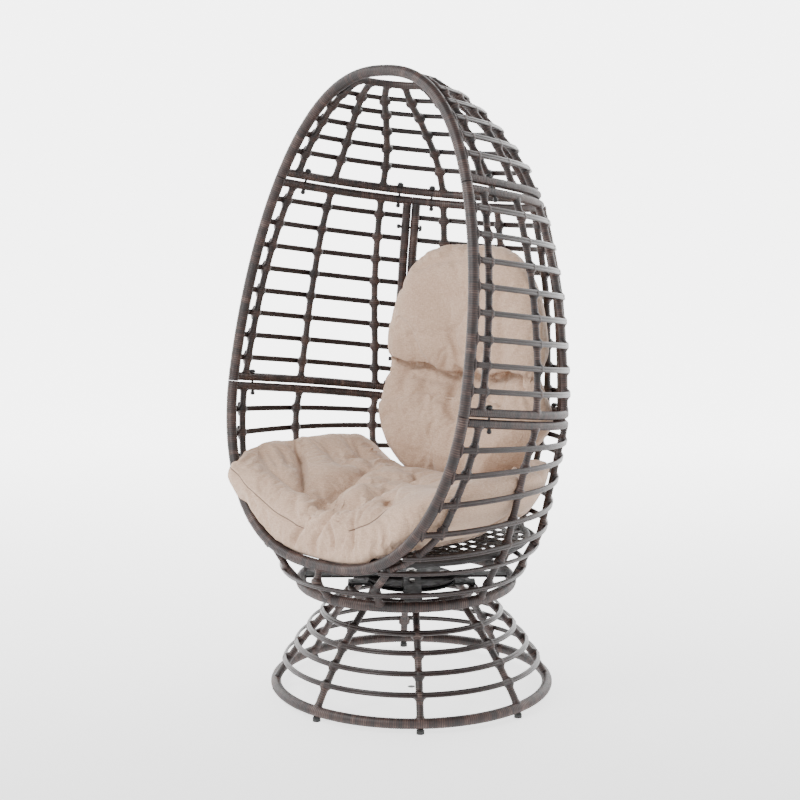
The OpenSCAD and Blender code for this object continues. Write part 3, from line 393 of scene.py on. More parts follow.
# ---- materials
class Paint:
    """A material in the making, with short ways to add nodes."""

    def __init__(self, name):
        self.mat = bpy.data.materials.new(name)
        self.mat.use_nodes = True
        self.tree = self.mat.node_tree
        self.tree.nodes.clear()
        out = self.tree.nodes.new("ShaderNodeOutputMaterial")
        self.bsdf = self.tree.nodes.new("ShaderNodeBsdfPrincipled")
        self.tree.links.new(self.bsdf.outputs[0], out.inputs[0])

    def feed(self, node, inputs):
        """Sets inputs by place or name, each from a value or from another node's output."""
        for key, x in inputs.items():
            if isinstance(x, bpy.types.NodeSocket):
                self.tree.links.new(x, node.inputs[key])
            else:
                node.inputs[key].default_value = x

    def surface(self, inputs):
        self.feed(self.bsdf, inputs)

    def add(self, kind, inputs, out=0, **fields):
        """A new node with these inputs and fields; gives the named output."""
        node = self.tree.nodes.new("ShaderNode" + kind)
        for key, value in fields.items():
            setattr(node, key, value)
        self.feed(node, inputs)
        return node.outputs[out]

    def value(self, name, out="Fac"):
        return self.add("Attribute", {}, out, attribute_name=name)

    def position(self):
        return self.add("NewGeometry", {}, "Position")

    def math(self, op, a, b=0.0):
        return self.add("Math", {0: a, 1: b}, operation=op)

    def plus(self, tone, x, middle, weight):
        """tone + (x - middle) * weight"""
        return self.math("ADD", tone, self.math("MULTIPLY", self.math("SUBTRACT", x, middle), weight))

    def noise(self, vector, scale, detail, rough):
        """Noise at one scale, or at one for each axis."""
        if isinstance(scale, tuple):
            vector = self.add("VectorMath", {0: vector, 1: scale}, operation="MULTIPLY")
            scale = 1.0
        return self.add("TexNoise", {"Vector": vector, "Scale": scale, "Detail": detail, "Roughness": rough})

    def span(self, x, low, high, to_low, to_high):
        return self.add("MapRange", {0: x, 1: low, 2: high, 3: to_low, 4: to_high})

    def ramp(self, fac, stops):
        node = self.tree.nodes.new("ShaderNodeValToRGB")
        el = node.color_ramp.elements
        el.remove(el[-1])
        el[0].position, el[0].color = stops[0][0], (*stops[0][1], 1)
        for pos, col in stops[1:]:
            el.new(pos).color = (*col, 1)
        self.feed(node, {0: fac})
        return node.outputs[0]

    def bump(self, height, strength, distance):
        self.surface({"Normal": self.add("Bump", {"Height": height, "Strength": strength, "Distance": distance})})


def wicker_material(name, stops, rough, shine, groove_shade=0.0):
    """Wound resin strands: a tone per strand, fine streaks along the strand, and painted shade that darkens the
    grooves between strands.
    """
    m = Paint(name)
    wind = m.value("wind", "Vector")
    streak = m.noise(wind, (1.5, 0.12, 0.12), 3.0, 0.65)
    patch = m.noise(wind, (0.05, 0.05, 0.05), 2.0, 0.5)
    tone = m.plus(m.math("MULTIPLY", m.value("tint"), 0.46), streak, 0.2, 0.5)
    tone = m.plus(tone, patch, 0.5, 0.8)
    if groove_shade:
        # Painted shade: the tone is darkened at each groove between strands, once a strand along the tube
        turn = m.math("MULTIPLY", m.add("SeparateXYZ", {0: wind}), 2 * math.pi / STRAND)
        tone = m.math("SUBTRACT", tone, m.math("MULTIPLY", m.math("COSINE", turn), groove_shade))
    m.surface({"Base Color": m.ramp(tone, stops), "Roughness": m.span(streak, 0.3, 0.7, *rough),
               "Specular IOR Level": shine})
    m.bump(streak, 0.35, 0.0004)
    return m.mat


def srgb(r, g, b):
    def lin(c):
        c /= 255
        return c / 12.92 if c <= 0.04045 else ((c + 0.055) / 1.055) ** 2.4
    return (lin(r), lin(g), lin(b))


# The last argument sets how dark the painted shade in the grooves between strands is
WICKER = wicker_material("wicker_wound", [
    (0.0, srgb(17, 11, 11)), (0.3, srgb(31, 20, 18)), (0.5, srgb(46, 29, 25)), (0.68, srgb(58, 40, 35)),
    (1.0, srgb(96, 80, 73))], (0.38, 0.6), 0.45, groove_shade=0.19)
STRIP_MAT = wicker_material("wicker_strip", [
    (0.0, srgb(19, 13, 12)), (0.45, srgb(33, 22, 20)), (0.7, srgb(45, 32, 28)), (1.0, srgb(70, 56, 51))],
    (0.3, 0.46), 0.36)
MOTTLE = 0.12


def plain_material(name, color, rough, metal=0.0, scale=60.0, shine=0.5):
    """Painted, rubber or plated part: slight mottling, uneven gloss and a fine bump."""
    m = Paint(name)
    big = m.noise(m.position(), scale, 3.0, 0.55)
    dark = tuple(c * (1 - MOTTLE * 1.6) for c in color)
    light = tuple(min(1, c * (1 + MOTTLE * 2) + 0.004) for c in color)
    m.surface({"Base Color": m.ramp(big, [(0.3, dark), (0.7, light)]), "Metallic": metal,
               "Roughness": m.span(big, 0.3, 0.7, rough * 0.8, min(1, rough * 1.25)),
               "Specular IOR Level": shine})
    m.bump(m.noise(m.position(), scale * 9, 2.0, 0.6), 0.3, 0.15 * MM)
    return m.mat


CAPS = plain_material("black_cap", srgb(26, 25, 26), 0.42, shine=0.35)
RUBBER = plain_material("foot_rubber", srgb(24, 24, 24), 0.62)
STEEL = plain_material("black_steel", srgb(22, 20, 20), 0.6, shine=0.2)
PLATED = plain_material("plated_steel", srgb(150, 148, 144), 0.32, metal=1.0)
BALLS = plain_material("ball_steel", srgb(200, 200, 202), 0.12, metal=1.0)
CORD_BLACK = plain_material("deck_cord", srgb(30, 27, 27), 0.6, scale=220)


def net_material():
    """Fine black mesh of the seat deck: a small woven pattern with light specks."""
    m = Paint("deck_mesh")
    weave = m.math("MULTIPLY", *(
        m.add("TexWave", {"Vector": m.position(), "Scale": 110.0, "Distortion": 0.6}, 1, bands_direction=way)
        for way in "XY"))
    m.surface({"Base Color": m.ramp(weave, [(0.2, srgb(16, 15, 15)), (0.6, srgb(40, 36, 35)),
                                            (1.0, srgb(96, 88, 82))]), "Roughness": 0.6})
    m.bump(weave, 0.6, 0.0006)
    return m.mat


NET = net_material()


def linen_material():
    """Beige polyester linen: crossed slub threads, uneven warp tone and soft sheen."""
    m = Paint("linen")
    cloth = m.value("cloth", "Vector")
    warp = m.noise(cloth, (620.0, 620.0, 110.0), 2.0, 0.6)
    weft = m.noise(cloth, (110.0, 110.0, 620.0), 2.0, 0.6)
    threads = m.math("MULTIPLY", m.math("ADD", warp, weft), 0.5)
    tone = m.plus(threads, m.noise(cloth, (6.0, 6.0, 6.0), 3.0, 0.5), 0.5, 0.25)
    color = m.ramp(tone, [(0.25, srgb(138, 111, 92)), (0.5, srgb(170, 142, 121)), (0.75, srgb(196, 171, 150))])
    # 0 on a seam's stitches, 1 away from them
    line = m.span(m.math("ABSOLUTE", m.value("seam")), 0.8, 2.4, 0.0, 1.0)
    m.surface({"Base Color": m.add("Mix", {0: line, 6: (*srgb(96, 76, 64), 1), 7: color}, 2, data_type="RGBA"),
               "Roughness": 0.92, "Sheen Weight": 0.15, "Sheen Roughness": 0.5})
    m.bump(m.plus(threads, line, 0.0, 2.0), 0.5, 0.0006)
    return m.mat


LINEN = linen_material()


# ---- wicker tubes
def fillet(d, start, reach):
    """1 where d is below start, falling to 0 over reach in a hollow quarter circle."""
    x = np.clip((d - start) / reach, 0, 1)
    return 1 - np.sqrt(np.maximum(0, 1 - (1 - x) ** 2))


def both_ends(s, length, start, reach, last=None):
    return np.maximum(fillet(s, start, reach), fillet(length - s, start, last or reach))


def rib_flare(marks, r, to_out=7.4):
    """Radii of a rib whose winding runs out in hollow fillets onto each strip and rail."""
    def radii(s, length):
        side, over = np.zeros_like(s), np.zeros_like(s)
        for m in marks:
            d = np.abs(s - m)
            side = np.maximum(side, fillet(d, 6.0, 11.0))
            over = np.maximum(over, ease(1 - (d - 5.0) / 12.0))
        end = both_ends(s, length, 7.0, 13.0)
        half = r + 0.7 + 6.5 * np.maximum(side, end)
        outer = r + 0.3 + np.maximum(to_out * over, 2.0 * end)
        return half, outer, r + 0.3 + 0.8 * end
    return radii


def rib(soup, i, low, hoops, high, mirror=False, low_end=3):
    """Wound rib at place i that runs up from one rail into the next, over the strips at hoops."""
    hs = np.linspace(shift_h(low, rib_phi(i, low), low_end), shift_h(high, rib_phi(i, high), -3), 220)
    phis = rib_phi(i, hs)
    path = shell(hs, phis)
    marks = np.interp(hoops, hs, arc(path))
    wound(soup, path, outward(hs, phis), RIB_R, 12, rib_flare(marks, RIB_R), mirror=mirror)


def rail(soup, h, a, b, r=RAIL_R, mirror=False):
    f = np.linspace(a, b, 160)
    wound(soup, shell(h, f), outward(h, f), r, 14, mirror=mirror)


def post(soup, side, mirror):
    hs = np.linspace(shift_h(BOTTOM_RAIL_H, CORNER_PHI, 4), shift_h(TOP_RAIL_H, CORNER_PHI, -4), 120)
    path = shell(hs, CORNER_PHI) + side * POST_PITCH / 2 * along(hs, CORNER_PHI)

    def flare(s, length):
        end = both_ends(s, length, 7.0, 15.0)
        return POST_R + 0 * end, POST_R + 2.2 * end, POST_R + 1.5 * end
    wound(soup, path, outward(hs, CORNER_PHI), POST_R, 14, flare, mirror=mirror)


def hoop_tube(soup, a0, a1):
    path = front_point(np.linspace(a0, a1, 400))
    wound(soup, path, np.tile(unit(np.array([0, -1.0, FRONT_LEAN])), (len(path), 1)), FRONT_R, 16)


def bridge(soup, h, mirror=False, out=0.0):
    """Wound wrap round the strip between the front hoop and the first rib."""
    f = np.linspace(front_stop(h, 0.0, STRIP_IN, FRONT_R - 5), rib1(h), 24)

    def flare(s, length):
        end = both_ends(s, length, 5.0, 11.0, 9.0)
        return 7.6 + 12.0 * end, 6.0 + 1.0 * end, 5.6 + 2.0 * end
    wound(soup, shell(h, f, STRIP_OFF + out - 3.0), outward(h, f), 8.0, 12, flare, mirror=mirror)


def ring(soup, r, z, tube_r, sides, cy=0.0, n=240):
    a = np.linspace(0, 2 * np.pi, n, endpoint=False)
    path = np.stack([r * np.cos(a), cy + r * np.sin(a), np.full(n, z)], 1)
    wound(soup, path, np.stack([np.cos(a), np.sin(a), np.zeros(n)], 1), tube_r, sides, closed=True)


def piece(name, body, mat, fill, *replaces):
    """An object that fill(soup) makes, in place of the named CAD nodes."""
    soup = Soup()
    fill(soup)
    ob = soup.obj(name, mat)
    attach(ob, body)
    if replaces:
        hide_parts(*replaces)


def tubes(cad, fill, body="seat"):
    piece(cad + "_wound", body, WICKER, fill, cad)


def strips(cad, fill, body="seat"):
    piece(cad + "_beaded", body, STRIP_MAT, fill, cad)


# Stand
FLOOR_Z = FOOT_H + 0.3 + FLOOR_TUBE_R
RIB_A, RIB_B = np.array([FLOOR_R, FLOOR_Z]), np.array([TOP_R, TOP_Z])
HALF_CHORD = np.linalg.norm(RIB_B - RIB_A) / 2
BOW_SIDE = np.array([-(RIB_B - RIB_A)[1], (RIB_B - RIB_A)[0]]) / (2 * HALF_CHORD)
BOW_C = (RIB_A + RIB_B) / 2 + BOW_SIDE * math.sqrt(STAND_BOW ** 2 - HALF_CHORD ** 2)


def bow_turn(p):
    return math.atan2(p[1] - BOW_C[1], p[0] - BOW_C[0])


TURN_A, TURN_B = bow_turn(RIB_A), bow_turn(RIB_B)
RIB_FROM = TURN_A + (FLOOR_TUBE_R + 0.3) / STAND_BOW
RIB_TO = TURN_B - (TOP_TUBE_R + 0.3) / STAND_BOW
STAND_TURNS = [RIB_FROM + (RIB_TO - RIB_FROM) * 0.18 * (i + 1) for i in range(4)]


def stand_ribs(soup):
    t = np.linspace(TURN_A + 4 / STAND_BOW, TURN_B - 4 / STAND_BOW, 120)
    rr = BOW_C[0] + STAND_BOW * np.cos(t)
    zz = BOW_C[1] + STAND_BOW * np.sin(t)
    marks = [(x - t[0]) * STAND_BOW for x in STAND_TURNS]
    for i in range(8):
        az = math.radians(2.4 + i * 45)
        path = np.stack([rr * math.cos(az), rr * math.sin(az), zz], 1)
        out = np.stack([np.cos(t) * math.cos(az), np.cos(t) * math.sin(az), np.sin(t)], 1)
        wound(soup, path, out, STAND_RIB_R, 12, rib_flare(marks, STAND_RIB_R, to_out=8.3))


def stand_hoops(soup):
    off = STAND_BOW + STAND_RIB_R + 0.3 + STRIP_T / 2
    for t in STAND_TURNS:
        r, z = BOW_C[0] + off * math.cos(t), BOW_C[1] + off * math.sin(t)
        a = np.linspace(0, 2 * np.pi, int(2 * np.pi * r / 12), endpoint=False)

        def turned(radius, height):
            return np.stack([radius * np.cos(a), radius * np.sin(a), np.full(len(a), height)], 1)
        sweep_strip(soup, turned(r, z), turned(math.cos(t), math.sin(t)), turned(-math.sin(t), math.cos(t)), True)


piece("stand_floor_ring_wound", "base", WICKER, lambda s: ring(s, FLOOR_R, FLOOR_Z, FLOOR_TUBE_R, 16), "floor_ring")
tubes("stand_top_ring", lambda s: ring(s, TOP_R, TOP_Z, TOP_TUBE_R, 14), "base")
tubes("stand_ribs", stand_ribs, "base")
strips("stand_hoops", stand_hoops, "base")

# Seat bowl
piece("seat_ring_wound", "seat", WICKER, lambda s: ring(s, RING_R, RING_Z, RING_TUBE_R, 16, -RING_FRONT),
      "seat_bottom_ring")
LOW = front_angle(LOWER - JOINT_GAP / 2)
tubes("seat_front_tube", lambda s: hoop_tube(s, -180 - LOW, LOW))


def rail_stop(h, r=RAIL_R):
    return front_stop(h, r, 0, FRONT_R - 4)


def whole_rail(cad, h, r=RAIL_R):
    """A rail from the front hoop's right side round the back to its left side."""
    a = rail_stop(h, r)
    tubes(cad, lambda s: rail(s, h, a, 180 - a, r))


def strip_stop(h):
    return front_stop(h, STRIP_H / 2, STRIP_IN, FRONT_R - 4)


def whole_strip(soup, h, out=0.0):
    strip(soup, h, strip_stop(h), 180 - strip_stop(h), out)


def seat_ribs(soup):
    for i in range(9):
        rib(soup, i, RING_Z, SEAT_HOOPS + [T7], SEAT_RAIL_H, low_end=5)
    foot = np.array([0, -RING_FRONT - RING_R - 4, RING_Z + 7])
    top = np.array([0, -FRONT_REACH, EGG_BOTTOM - 5])
    pts = np.array([foot, shell(RING_Z + 38, -90), shell(T7, -90), top - [0, 0, 10], top])
    path = sample(pts, np.linspace(0, len(pts) - 1, 60), np.arange(len(pts)))
    mark = np.interp(T7, path[:, 2], arc(path))
    wound(soup, path, np.tile([0, -1.0, 0], (60, 1)), RIB_R, 12, rib_flare([mark], RIB_R))


def seat_hoops(soup):
    for h in SEAT_HOOPS:
        whole_strip(soup, h, KNEE_OUT if h == T6 else BOWL_OUT)
    f = np.linspace(-90, 270, 161)[:-1]
    u = outward(T7, f)
    sweep_strip(soup, shell(T7, f, STRIP_OFF + BOWL_OUT), u, -np.cross(u, along(T7, f)), True)


whole_rail("seat_top_rail", SEAT_RAIL_H)
tubes("seat_ribs", seat_ribs)
strips("seat_hoops", seat_hoops)

# Wall panels
MID_LOW, MID_HIGH = front_angle(LOWER + JOINT_GAP / 2), front_angle(UPPER - JOINT_GAP / 2)
PANEL_RAILS = (("top", TOP_RAIL_H), ("bottom", BOTTOM_RAIL_H))
HOOP_STOP = POST_PITCH / 2 + POST_R * 0.6


def panel_ribs(soup, places, mirror=False):
    for i in places:
        rib(soup, i, BOTTOM_RAIL_H, PANEL_HOOPS, TOP_RAIL_H, mirror)


for side, mirror in (("right", False), ("left", True)):
    def side_ribs(soup):
        panel_ribs(soup, range(3), mirror)
        for h in PANEL_HOOPS:
            bridge(soup, h, mirror)

    def side_hoops(soup):
        for h in PANEL_HOOPS:
            part = Soup()
            strip(part, h, strip_stop(h), shift_phi(h, CORNER_PHI, -HOOP_STOP))
            if mirror:
                part.v = [flip(v) for v in part.v]
                part.f = [f[::-1] for f in part.f]
            soup.add(part.v[0], part.f, part.t[0], part.w[0])

    hoop_span = (180 - MID_HIGH, 180 - MID_LOW) if mirror else (MID_LOW, MID_HIGH)
    tubes(f"{side}_front_tube", lambda s: hoop_tube(s, *hoop_span))
    for label, h in PANEL_RAILS:
        a, b = rail_stop(h), shift_phi(h, CORNER_PHI, -JOINT_GAP / 2)
        tubes(f"{side}_{label}_rail", lambda s: rail(s, h, a, b, mirror=mirror))
    tubes(f"{side}_post", lambda s: post(s, -1, mirror))
    tubes(f"back_{side}_post", lambda s: post(s, 1, mirror))
    tubes(f"{side}_ribs", side_ribs)
    strips(f"{side}_hoops", side_hoops)

for label, h in PANEL_RAILS:
    a = shift_phi(h, CORNER_PHI, JOINT_GAP / 2)
    tubes(f"back_{label}_rail", lambda s: rail(s, h, a, 180 - a))


def back_hoops(soup):
    for h in PANEL_HOOPS:
        a = shift_phi(h, CORNER_PHI, HOOP_STOP)
        strip(soup, h, a, 180 - a)


tubes("back_ribs", lambda s: panel_ribs(s, (3, 4, 5)))
strips("back_hoops", back_hoops)

# Dome
TOP_A = front_angle(UPPER + JOINT_GAP / 2)
tubes("dome_arch", lambda s: hoop_tube(s, TOP_A, 180 - TOP_A))
whole_rail("dome_rail", DOME_RAIL_H)
whole_rail("dome_crown_bar", CROWN_H, CROWN_R)


def bridges(soup, hoops, out=0.0):
    for h in hoops:
        bridge(soup, h, out=out)
        bridge(soup, h, True, out)


def dome_ribs(soup):
    for i in range(9):
        rib(soup, i, DOME_RAIL_H, DOME_HOOPS, CROWN_H)
    bridges(soup, DOME_HOOPS[2:])


def dome_hoops(soup):
    for h in DOME_HOOPS:
        whole_strip(soup, h)


tubes("dome_ribs", dome_ribs)
strips("dome_hoops", dome_hoops)
piece("seat_bridges_wound", "seat", WICKER, lambda s: bridges(s, SEAT_HOOPS[:4], BOWL_OUT))

# ---- cushions
PAD_N, PAD_ROWS, VOXEL = 256, 64, 0.0055
# Tufts of the seat cushion: x, y, share of the height, radius
TUFTS = [(-112, -194, 0.5, 58), (75, -165, 0.26, 34), (230, -90, 0.24, 36), (-240, 60, 0.2, 36)]
PAD_W, PAD_FRONT, PAD_BACK, PAD_Y, PAD_HALF = 383.6, 311.0, 262.0, -25.0, 72.5
BACK_GAP, BACK_LOW, BACK_HIGH, BACK_HALF, SLOUCH_TOP = 10.76, 512.0, 1252.0, 75, 797.5


def bell(d, width):
    return np.exp(-(d / width) ** 2)


def seat_edge(a):
    c, s = np.cos(a), np.sin(a)
    n = np.where(s < 0, np.where(c < 0, 5.2, 3.6), 2.5)
    k = (np.abs(c) ** n + np.abs(s) ** n) ** (-1 / n)
    x = (PAD_W + 4) * c * k
    y = PAD_Y + np.where(s < 0, PAD_FRONT, PAD_BACK) * s * k
    z = np.where(s < 0, mix(482, 626, (np.abs(x) / PAD_W) ** 2.8),
                 mix(626, 500, ease((s - 0.55) / 0.43)))
    return x, y, z


def seat_point(a, r, side):
    """The seat cushion at angle a and share r of its outline, on its top or its underside."""
    ex, ey, ez = seat_edge(a)
    x, y = ex * r, mix(PAD_Y, ey, r)
    mid = mix(502.3, ez, r ** 4)
    if side < 0:
        box = mix(5, 24, ease((-np.sin(a) - 0.72) / 0.25))
        rest = mix(429.8, 437.3, ease((r - 0.6) / 0.25))
        z = np.where(r < 1, np.maximum(mid - PAD_HALF * np.sqrt(np.maximum(0, 1 - r ** box)), rest), mid)
        return np.stack([x, y, z], -1)
    fold = 1 + 0.05 * np.cos(7 * a + math.radians(20)) * np.sin(np.pi * r) ** 2
    pull = 1 - sum(share * np.exp(-((x - tx) ** 2 + (y - ty) ** 2) / size ** 2) for tx, ty, share, size in TUFTS)
    press = 1 - 0.4 * ease((y - 20) / 150) * ease((330 - np.abs(x)) / 110)
    return np.stack([x, y, mid + PAD_HALF * np.sqrt(np.maximum(0, 1 - r ** 5)) * fold * pull * press], -1)


def back_point(a, r, side):
    """The back cushion at angle a and share r of its outline, on its front or its back."""
    low = np.sin(a) < 0
    power = np.where(low, 0.42, 0.57)
    u, v = r * pow_s(np.cos(a), power), (r * pow_s(np.sin(a), power) + 1) / 2
    h = mix(BACK_LOW, BACK_HIGH, v)
    crown = np.sqrt(np.maximum(0, 1 - r ** np.where(low, 6, 4)))
    waist = 0.5 * bell(h - 912.4, 38) if side < 0 else 0.4 * bell(h - 878, 50)
    slouch = 40 * ease((SLOUCH_TOP - h) / (0.7 * (SLOUCH_TOP - BACK_LOW)))
    depth = BACK_GAP + slouch + BACK_HALF * (1 + side * crown * (1 - waist))
    turn = mix(53.5, 43.6, v) * (1 - 0.06 * bell(h - 858, 44))
    return shell(h, 90 - u * turn, -depth)


# Lines pressed into the covers: the plane that they are drawn in, depth, half width,
# then the two places, across and up, of each point of the line
TOP, FRONT = (0, 1), (0, 2)
SEAT_VALLEYS = [
    (TOP, 19, 30, -128, -236, -164, -225, -213, -187, -287, -126, -365, -78),
    (TOP, 13, 20, -362, -205, -285, -242, -210, -250, -160, -250, -112, -235),
    (TOP, 19, 27, -70, -228, -95, -163, -111, -105, -135, -38, -160, 18),
    (TOP, 9, 24, -70, -140, -17, -136, -10, -95, 0, -37),
    (TOP, 20, 40, -70, -262, -30, -264, 0, -262, 40, -252, 66, -236),
    (TOP, 22, 50, -118, -215, -90, -212, -70, -216),
    (TOP, 12, 26, 60, -215, 45, -145, 38, -100),
    (TOP, 15, 18, 134, -226, 159, -246, 174, -256),
    (TOP, 13, 16, -22, 36, 25, -7, 24, -44, 66, -56, 104, -80)]
SEAT_CREASES = [
    (TOP, 13, 7, -120, -236, -164, -225, -213, -187, -287, -126, -358, -82),
    (TOP, 6, 8, -352, -212, -285, -242, -210, -250, -160, -250, -112, -238),
    (TOP, 6, 8, -345, -196, -305, -212, -262, -230),
    (TOP, 7, 9, -60, -236, -95, -163, -111, -105, -124, -70),
    (TOP, 9, 8, -62, -282, -22, -290, 0, -284, 39, -282, 75, -270, 86, -256, 57, -198),
    (TOP, 14, 8, 132, -222, 150, -238, 174, -256),
    (TOP, 13, 6, 24, -44, 66, -56, 98, -78),
    (TOP, 8, 6, -22, 36, 6, 16, 25, -7),
    (FRONT, 13, 8, -58, 492, -76, 468, -90, 448, -96, 430),
    (FRONT, 13, 8, 22, 512, 4, 488, -12, 465, -19, 450, -11, 430),
    (FRONT, 10, 7, 30, 514, 42, 495, 51, 470, 52, 440),
    (FRONT, 12, 7, 98, 538, 112, 508, 119, 480, 114, 450),
    (FRONT, 8, 8, 34, 536, 13, 506, -35, 482),
    (FRONT, 7, 10, -30, 544, -41, 514, -56, 488),
    (FRONT, 6, 10, -200, 505, -196, 470, -180, 446),
    (FRONT, 6, 9, 190, 525, 196, 490, 184, 460),
    (FRONT, 3.5, 5, -350, 600, -316, 587, -267, 554, -217, 528, -164, 505, -100, 490, -58, 474),
    (FRONT, 3.5, 5, 92, 494, 132, 512, 158, 524, 176, 540, 184, 566),
    (FRONT, 7, 9, -120, 540, -98, 520, -78, 500),
    (FRONT, 5, 8, -260, 545, -246, 520, -232, 500),
    (TOP, 18, 24, -66, -262, -20, -264, 30, -260, 62, -244),
    (TOP, 14, 20, -116, -234, -84, -234, -56, -242),
    (TOP, -7, 20, -150, -300, -60, -316, 20, -318, 100, -304),
    (TOP, 5, 9, -330, -160, -300, -170, -262, -196),
    (TOP, 6, 10, -300, -20, -250, -40, -190, -60),
    (TOP, 6, 9, -290, 80, -240, 60, -190, 40, -150, 10)]
SEAT_SEAMS = [
    (-350, 600, -334, 594, -316, 587, -298, 578, -267, 554, -217, 528, -164, 505, -100, 490, -62, 476),
    (100, 498, 132, 512, 158, 524, 176, 540, 184, 560)]
BACK_VALLEYS = [
    (FRONT, 22, 30, -290, 846, -229, 838, -183, 828, -111, 814, -70, 808, 20, 808, 72, 811, 130, 824, 177, 831,
     235, 833, 290, 820),
    (FRONT, 13, 18, -71, 800, -61, 764, -40, 726, 6, 698),
    (FRONT, 8, 22, -51, 945, -27, 893, -14, 855),
    (FRONT, 6, 22, -172, 930, -146, 870, -114, 825),
    (FRONT, 6, 26, 150, 1020, 170, 940, 160, 860),
    (FRONT, 6, 24, -225, 760, -180, 700, -120, 665)]
BACK_CREASES = [
    (FRONT, 17, 9, -290, 846, -229, 838, -183, 827, -149, 827, -111, 812, -70, 806, -36, 809, 20, 806, 72, 809,
     130, 826, 177, 831, 235, 833, 290, 820),
    (FRONT, 9, 8, -74, 803, -66, 780, -58, 750, -40, 722, -8, 700),
    (FRONT, 7, 7, -84, 800, -50, 788, -20, 792, 10, 802),
    (FRONT, 5, 10, -51, 940, -34, 905, -14, 860),
    (FRONT, 4, 10, -172, 924, -146, 870, -120, 832),
    (FRONT, 5, 10, -150, 1100, -95, 1122, -20, 1132),
    (FRONT, 10, 7, 120, 822, 184, 840, 215, 800, 222, 778),
    (FRONT, 9, 7, 205, 816, 244, 792, 262, 764),
    (FRONT, 6, 9, 120, 822, 140, 780, 150, 730),
    (FRONT, 6, 9, -190, 826, -200, 790, -192, 750),
    (FRONT, 4, 10, -150, 820, -140, 780, -120, 740),
    (FRONT, 4, 10, 30, 812, 50, 860, 90, 900)]
# The fold between the back cushion's lobes: x, and height
FOLD = ([-290, -229, -149, -70, 72, 177, 290], [846, 838, 827, 807, 810, 831, 820])


def curve(points):
    """A smooth line through the points, in ten steps from each to the next."""
    q = np.reshape(points, (-1, 2)).astype(float)
    q = np.vstack([2 * q[0] - q[1], q, 2 * q[-1] - q[-2]])
    t = np.linspace(0, 1, 10, endpoint=False)[:, None]
    steps = [0.5 * (2 * b + (c - a) * t + (2 * a - 5 * b + 4 * c - d) * t ** 2 + (3 * b - a - 3 * c + d) * t ** 3)
             for a, b, c, d in zip(q, q[1:], q[2:], q[3:])]
    return np.vstack([*steps, q[-2:-1]])


def near(p, line, far=60):
    """Distance to a line, the share along it, the offset from its nearest place and the way it runs
    there. Points further off than far keep a very long distance."""
    best, share = np.full(len(p), 1e9), np.zeros(len(p))
    off, way = np.zeros((2, *p.shape))
    cum = arc(line)
    pick = np.nonzero(np.all((p > line.min(0) - far) & (p < line.max(0) + far), axis=1))[0]
    for i in range(len(line) - 1):
        seg, ln = line[i + 1] - line[i], cum[i + 1] - cum[i]
        t = np.clip(((p[pick] - line[i]) @ seg) / ln ** 2, 0, 1)
        o = p[pick] - line[i] - t[:, None] * seg
        d = np.linalg.norm(o, axis=1)
        k = d < best[pick]
        at = pick[k]
        best[at], share[at], off[at], way[at] = d[k], (cum[i] + t[k] * ln) / cum[-1], o[k], seg / ln
    return best, share, off, way


def measure(me):
    """The places, in mm, and the normals of a mesh's points."""
    co, normals = np.zeros((2, len(me.vertices) * 3), np.float32)
    me.vertices.foreach_get("co", co)
    me.vertex_normals.foreach_get("vector", normals)
    return co.reshape(-1, 3).astype(float) / MM, normals.reshape(-1, 3).astype(float)


def facing(normals, axes):
    """How far a normal points up, or to the front, as the line's plane asks."""
    return normals[:, 2] if axes == TOP else -normals[:, 1]


def press_in(co, normals, lines):
    """Pushes the surface in along each line, less at the line's two ends."""
    for axes, depth, width, *points in lines:
        d, t, _, _ = near(co[:, list(axes)], curve(points))
        ends = ease(t / 0.12) * ease((1 - t) / 0.2)
        share = bell(d, width) * mix(0.35, 1, ends) * ease((facing(normals, axes) - 0.05) / 0.35)
        co = co - normals * (depth * share)[:, None]
    return co


def pad_mesh(point):
    """The cushion's formula as a closed mesh: its top from the middle out, then its underside."""
    n = PAD_N
    a = 2 * np.pi * np.arange(n) / n
    share = np.sin(np.pi / 2 * np.arange(1, PAD_ROWS + 1) / PAD_ROWS)
    rings = np.array([point(a, np.full(n, r), 1) for r in share]
                     + [point(a, np.full(n, r), -1) for r in share[-2::-1]])
    m = len(rings)
    verts = np.vstack([rings.reshape(-1, 3), *(point(np.zeros(1), np.zeros(1), side)[0] for side in (1, -1))])
    i, k = np.arange(m - 1)[:, None], np.arange(n)
    quads = np.stack([i * n + k, (i + 1) * n + k, (i + 1) * n + (k + 1) % n, i * n + (k + 1) % n], -1)
    faces = quads.reshape(-1, 4).tolist()
    faces += [[m * n, q, (q + 1) % n] for q in range(n)]
    faces += [[m * n + 1, (m - 1) * n + (q + 1) % n, (m - 1) * n + q] for q in range(n)]
    return mesh_of("pad", verts, faces)


def write(me, co):
    me.vertices.foreach_set("co", (co * MM).astype(np.float32).ravel())
    me.update()


def as_seen(ob):
    """A new mesh of the object as its modifiers leave it."""
    return bpy.data.meshes.new_from_object(ob.evaluated_get(bpy.context.evaluated_depsgraph_get()))


def applied(ob, kind, **values):
    """The object's mesh after one more modifier, in place of the old one."""
    mod = ob.modifiers.new(kind, kind)
    for key, value in values.items():
        setattr(mod, key, value)
    me = as_seen(ob)
    ob.modifiers.clear()
    ob.data = me
    return me


def tree_of(me):
    return BVHTree.FromPolygons([v.co for v in me.vertices], [f.vertices for f in me.polygons])


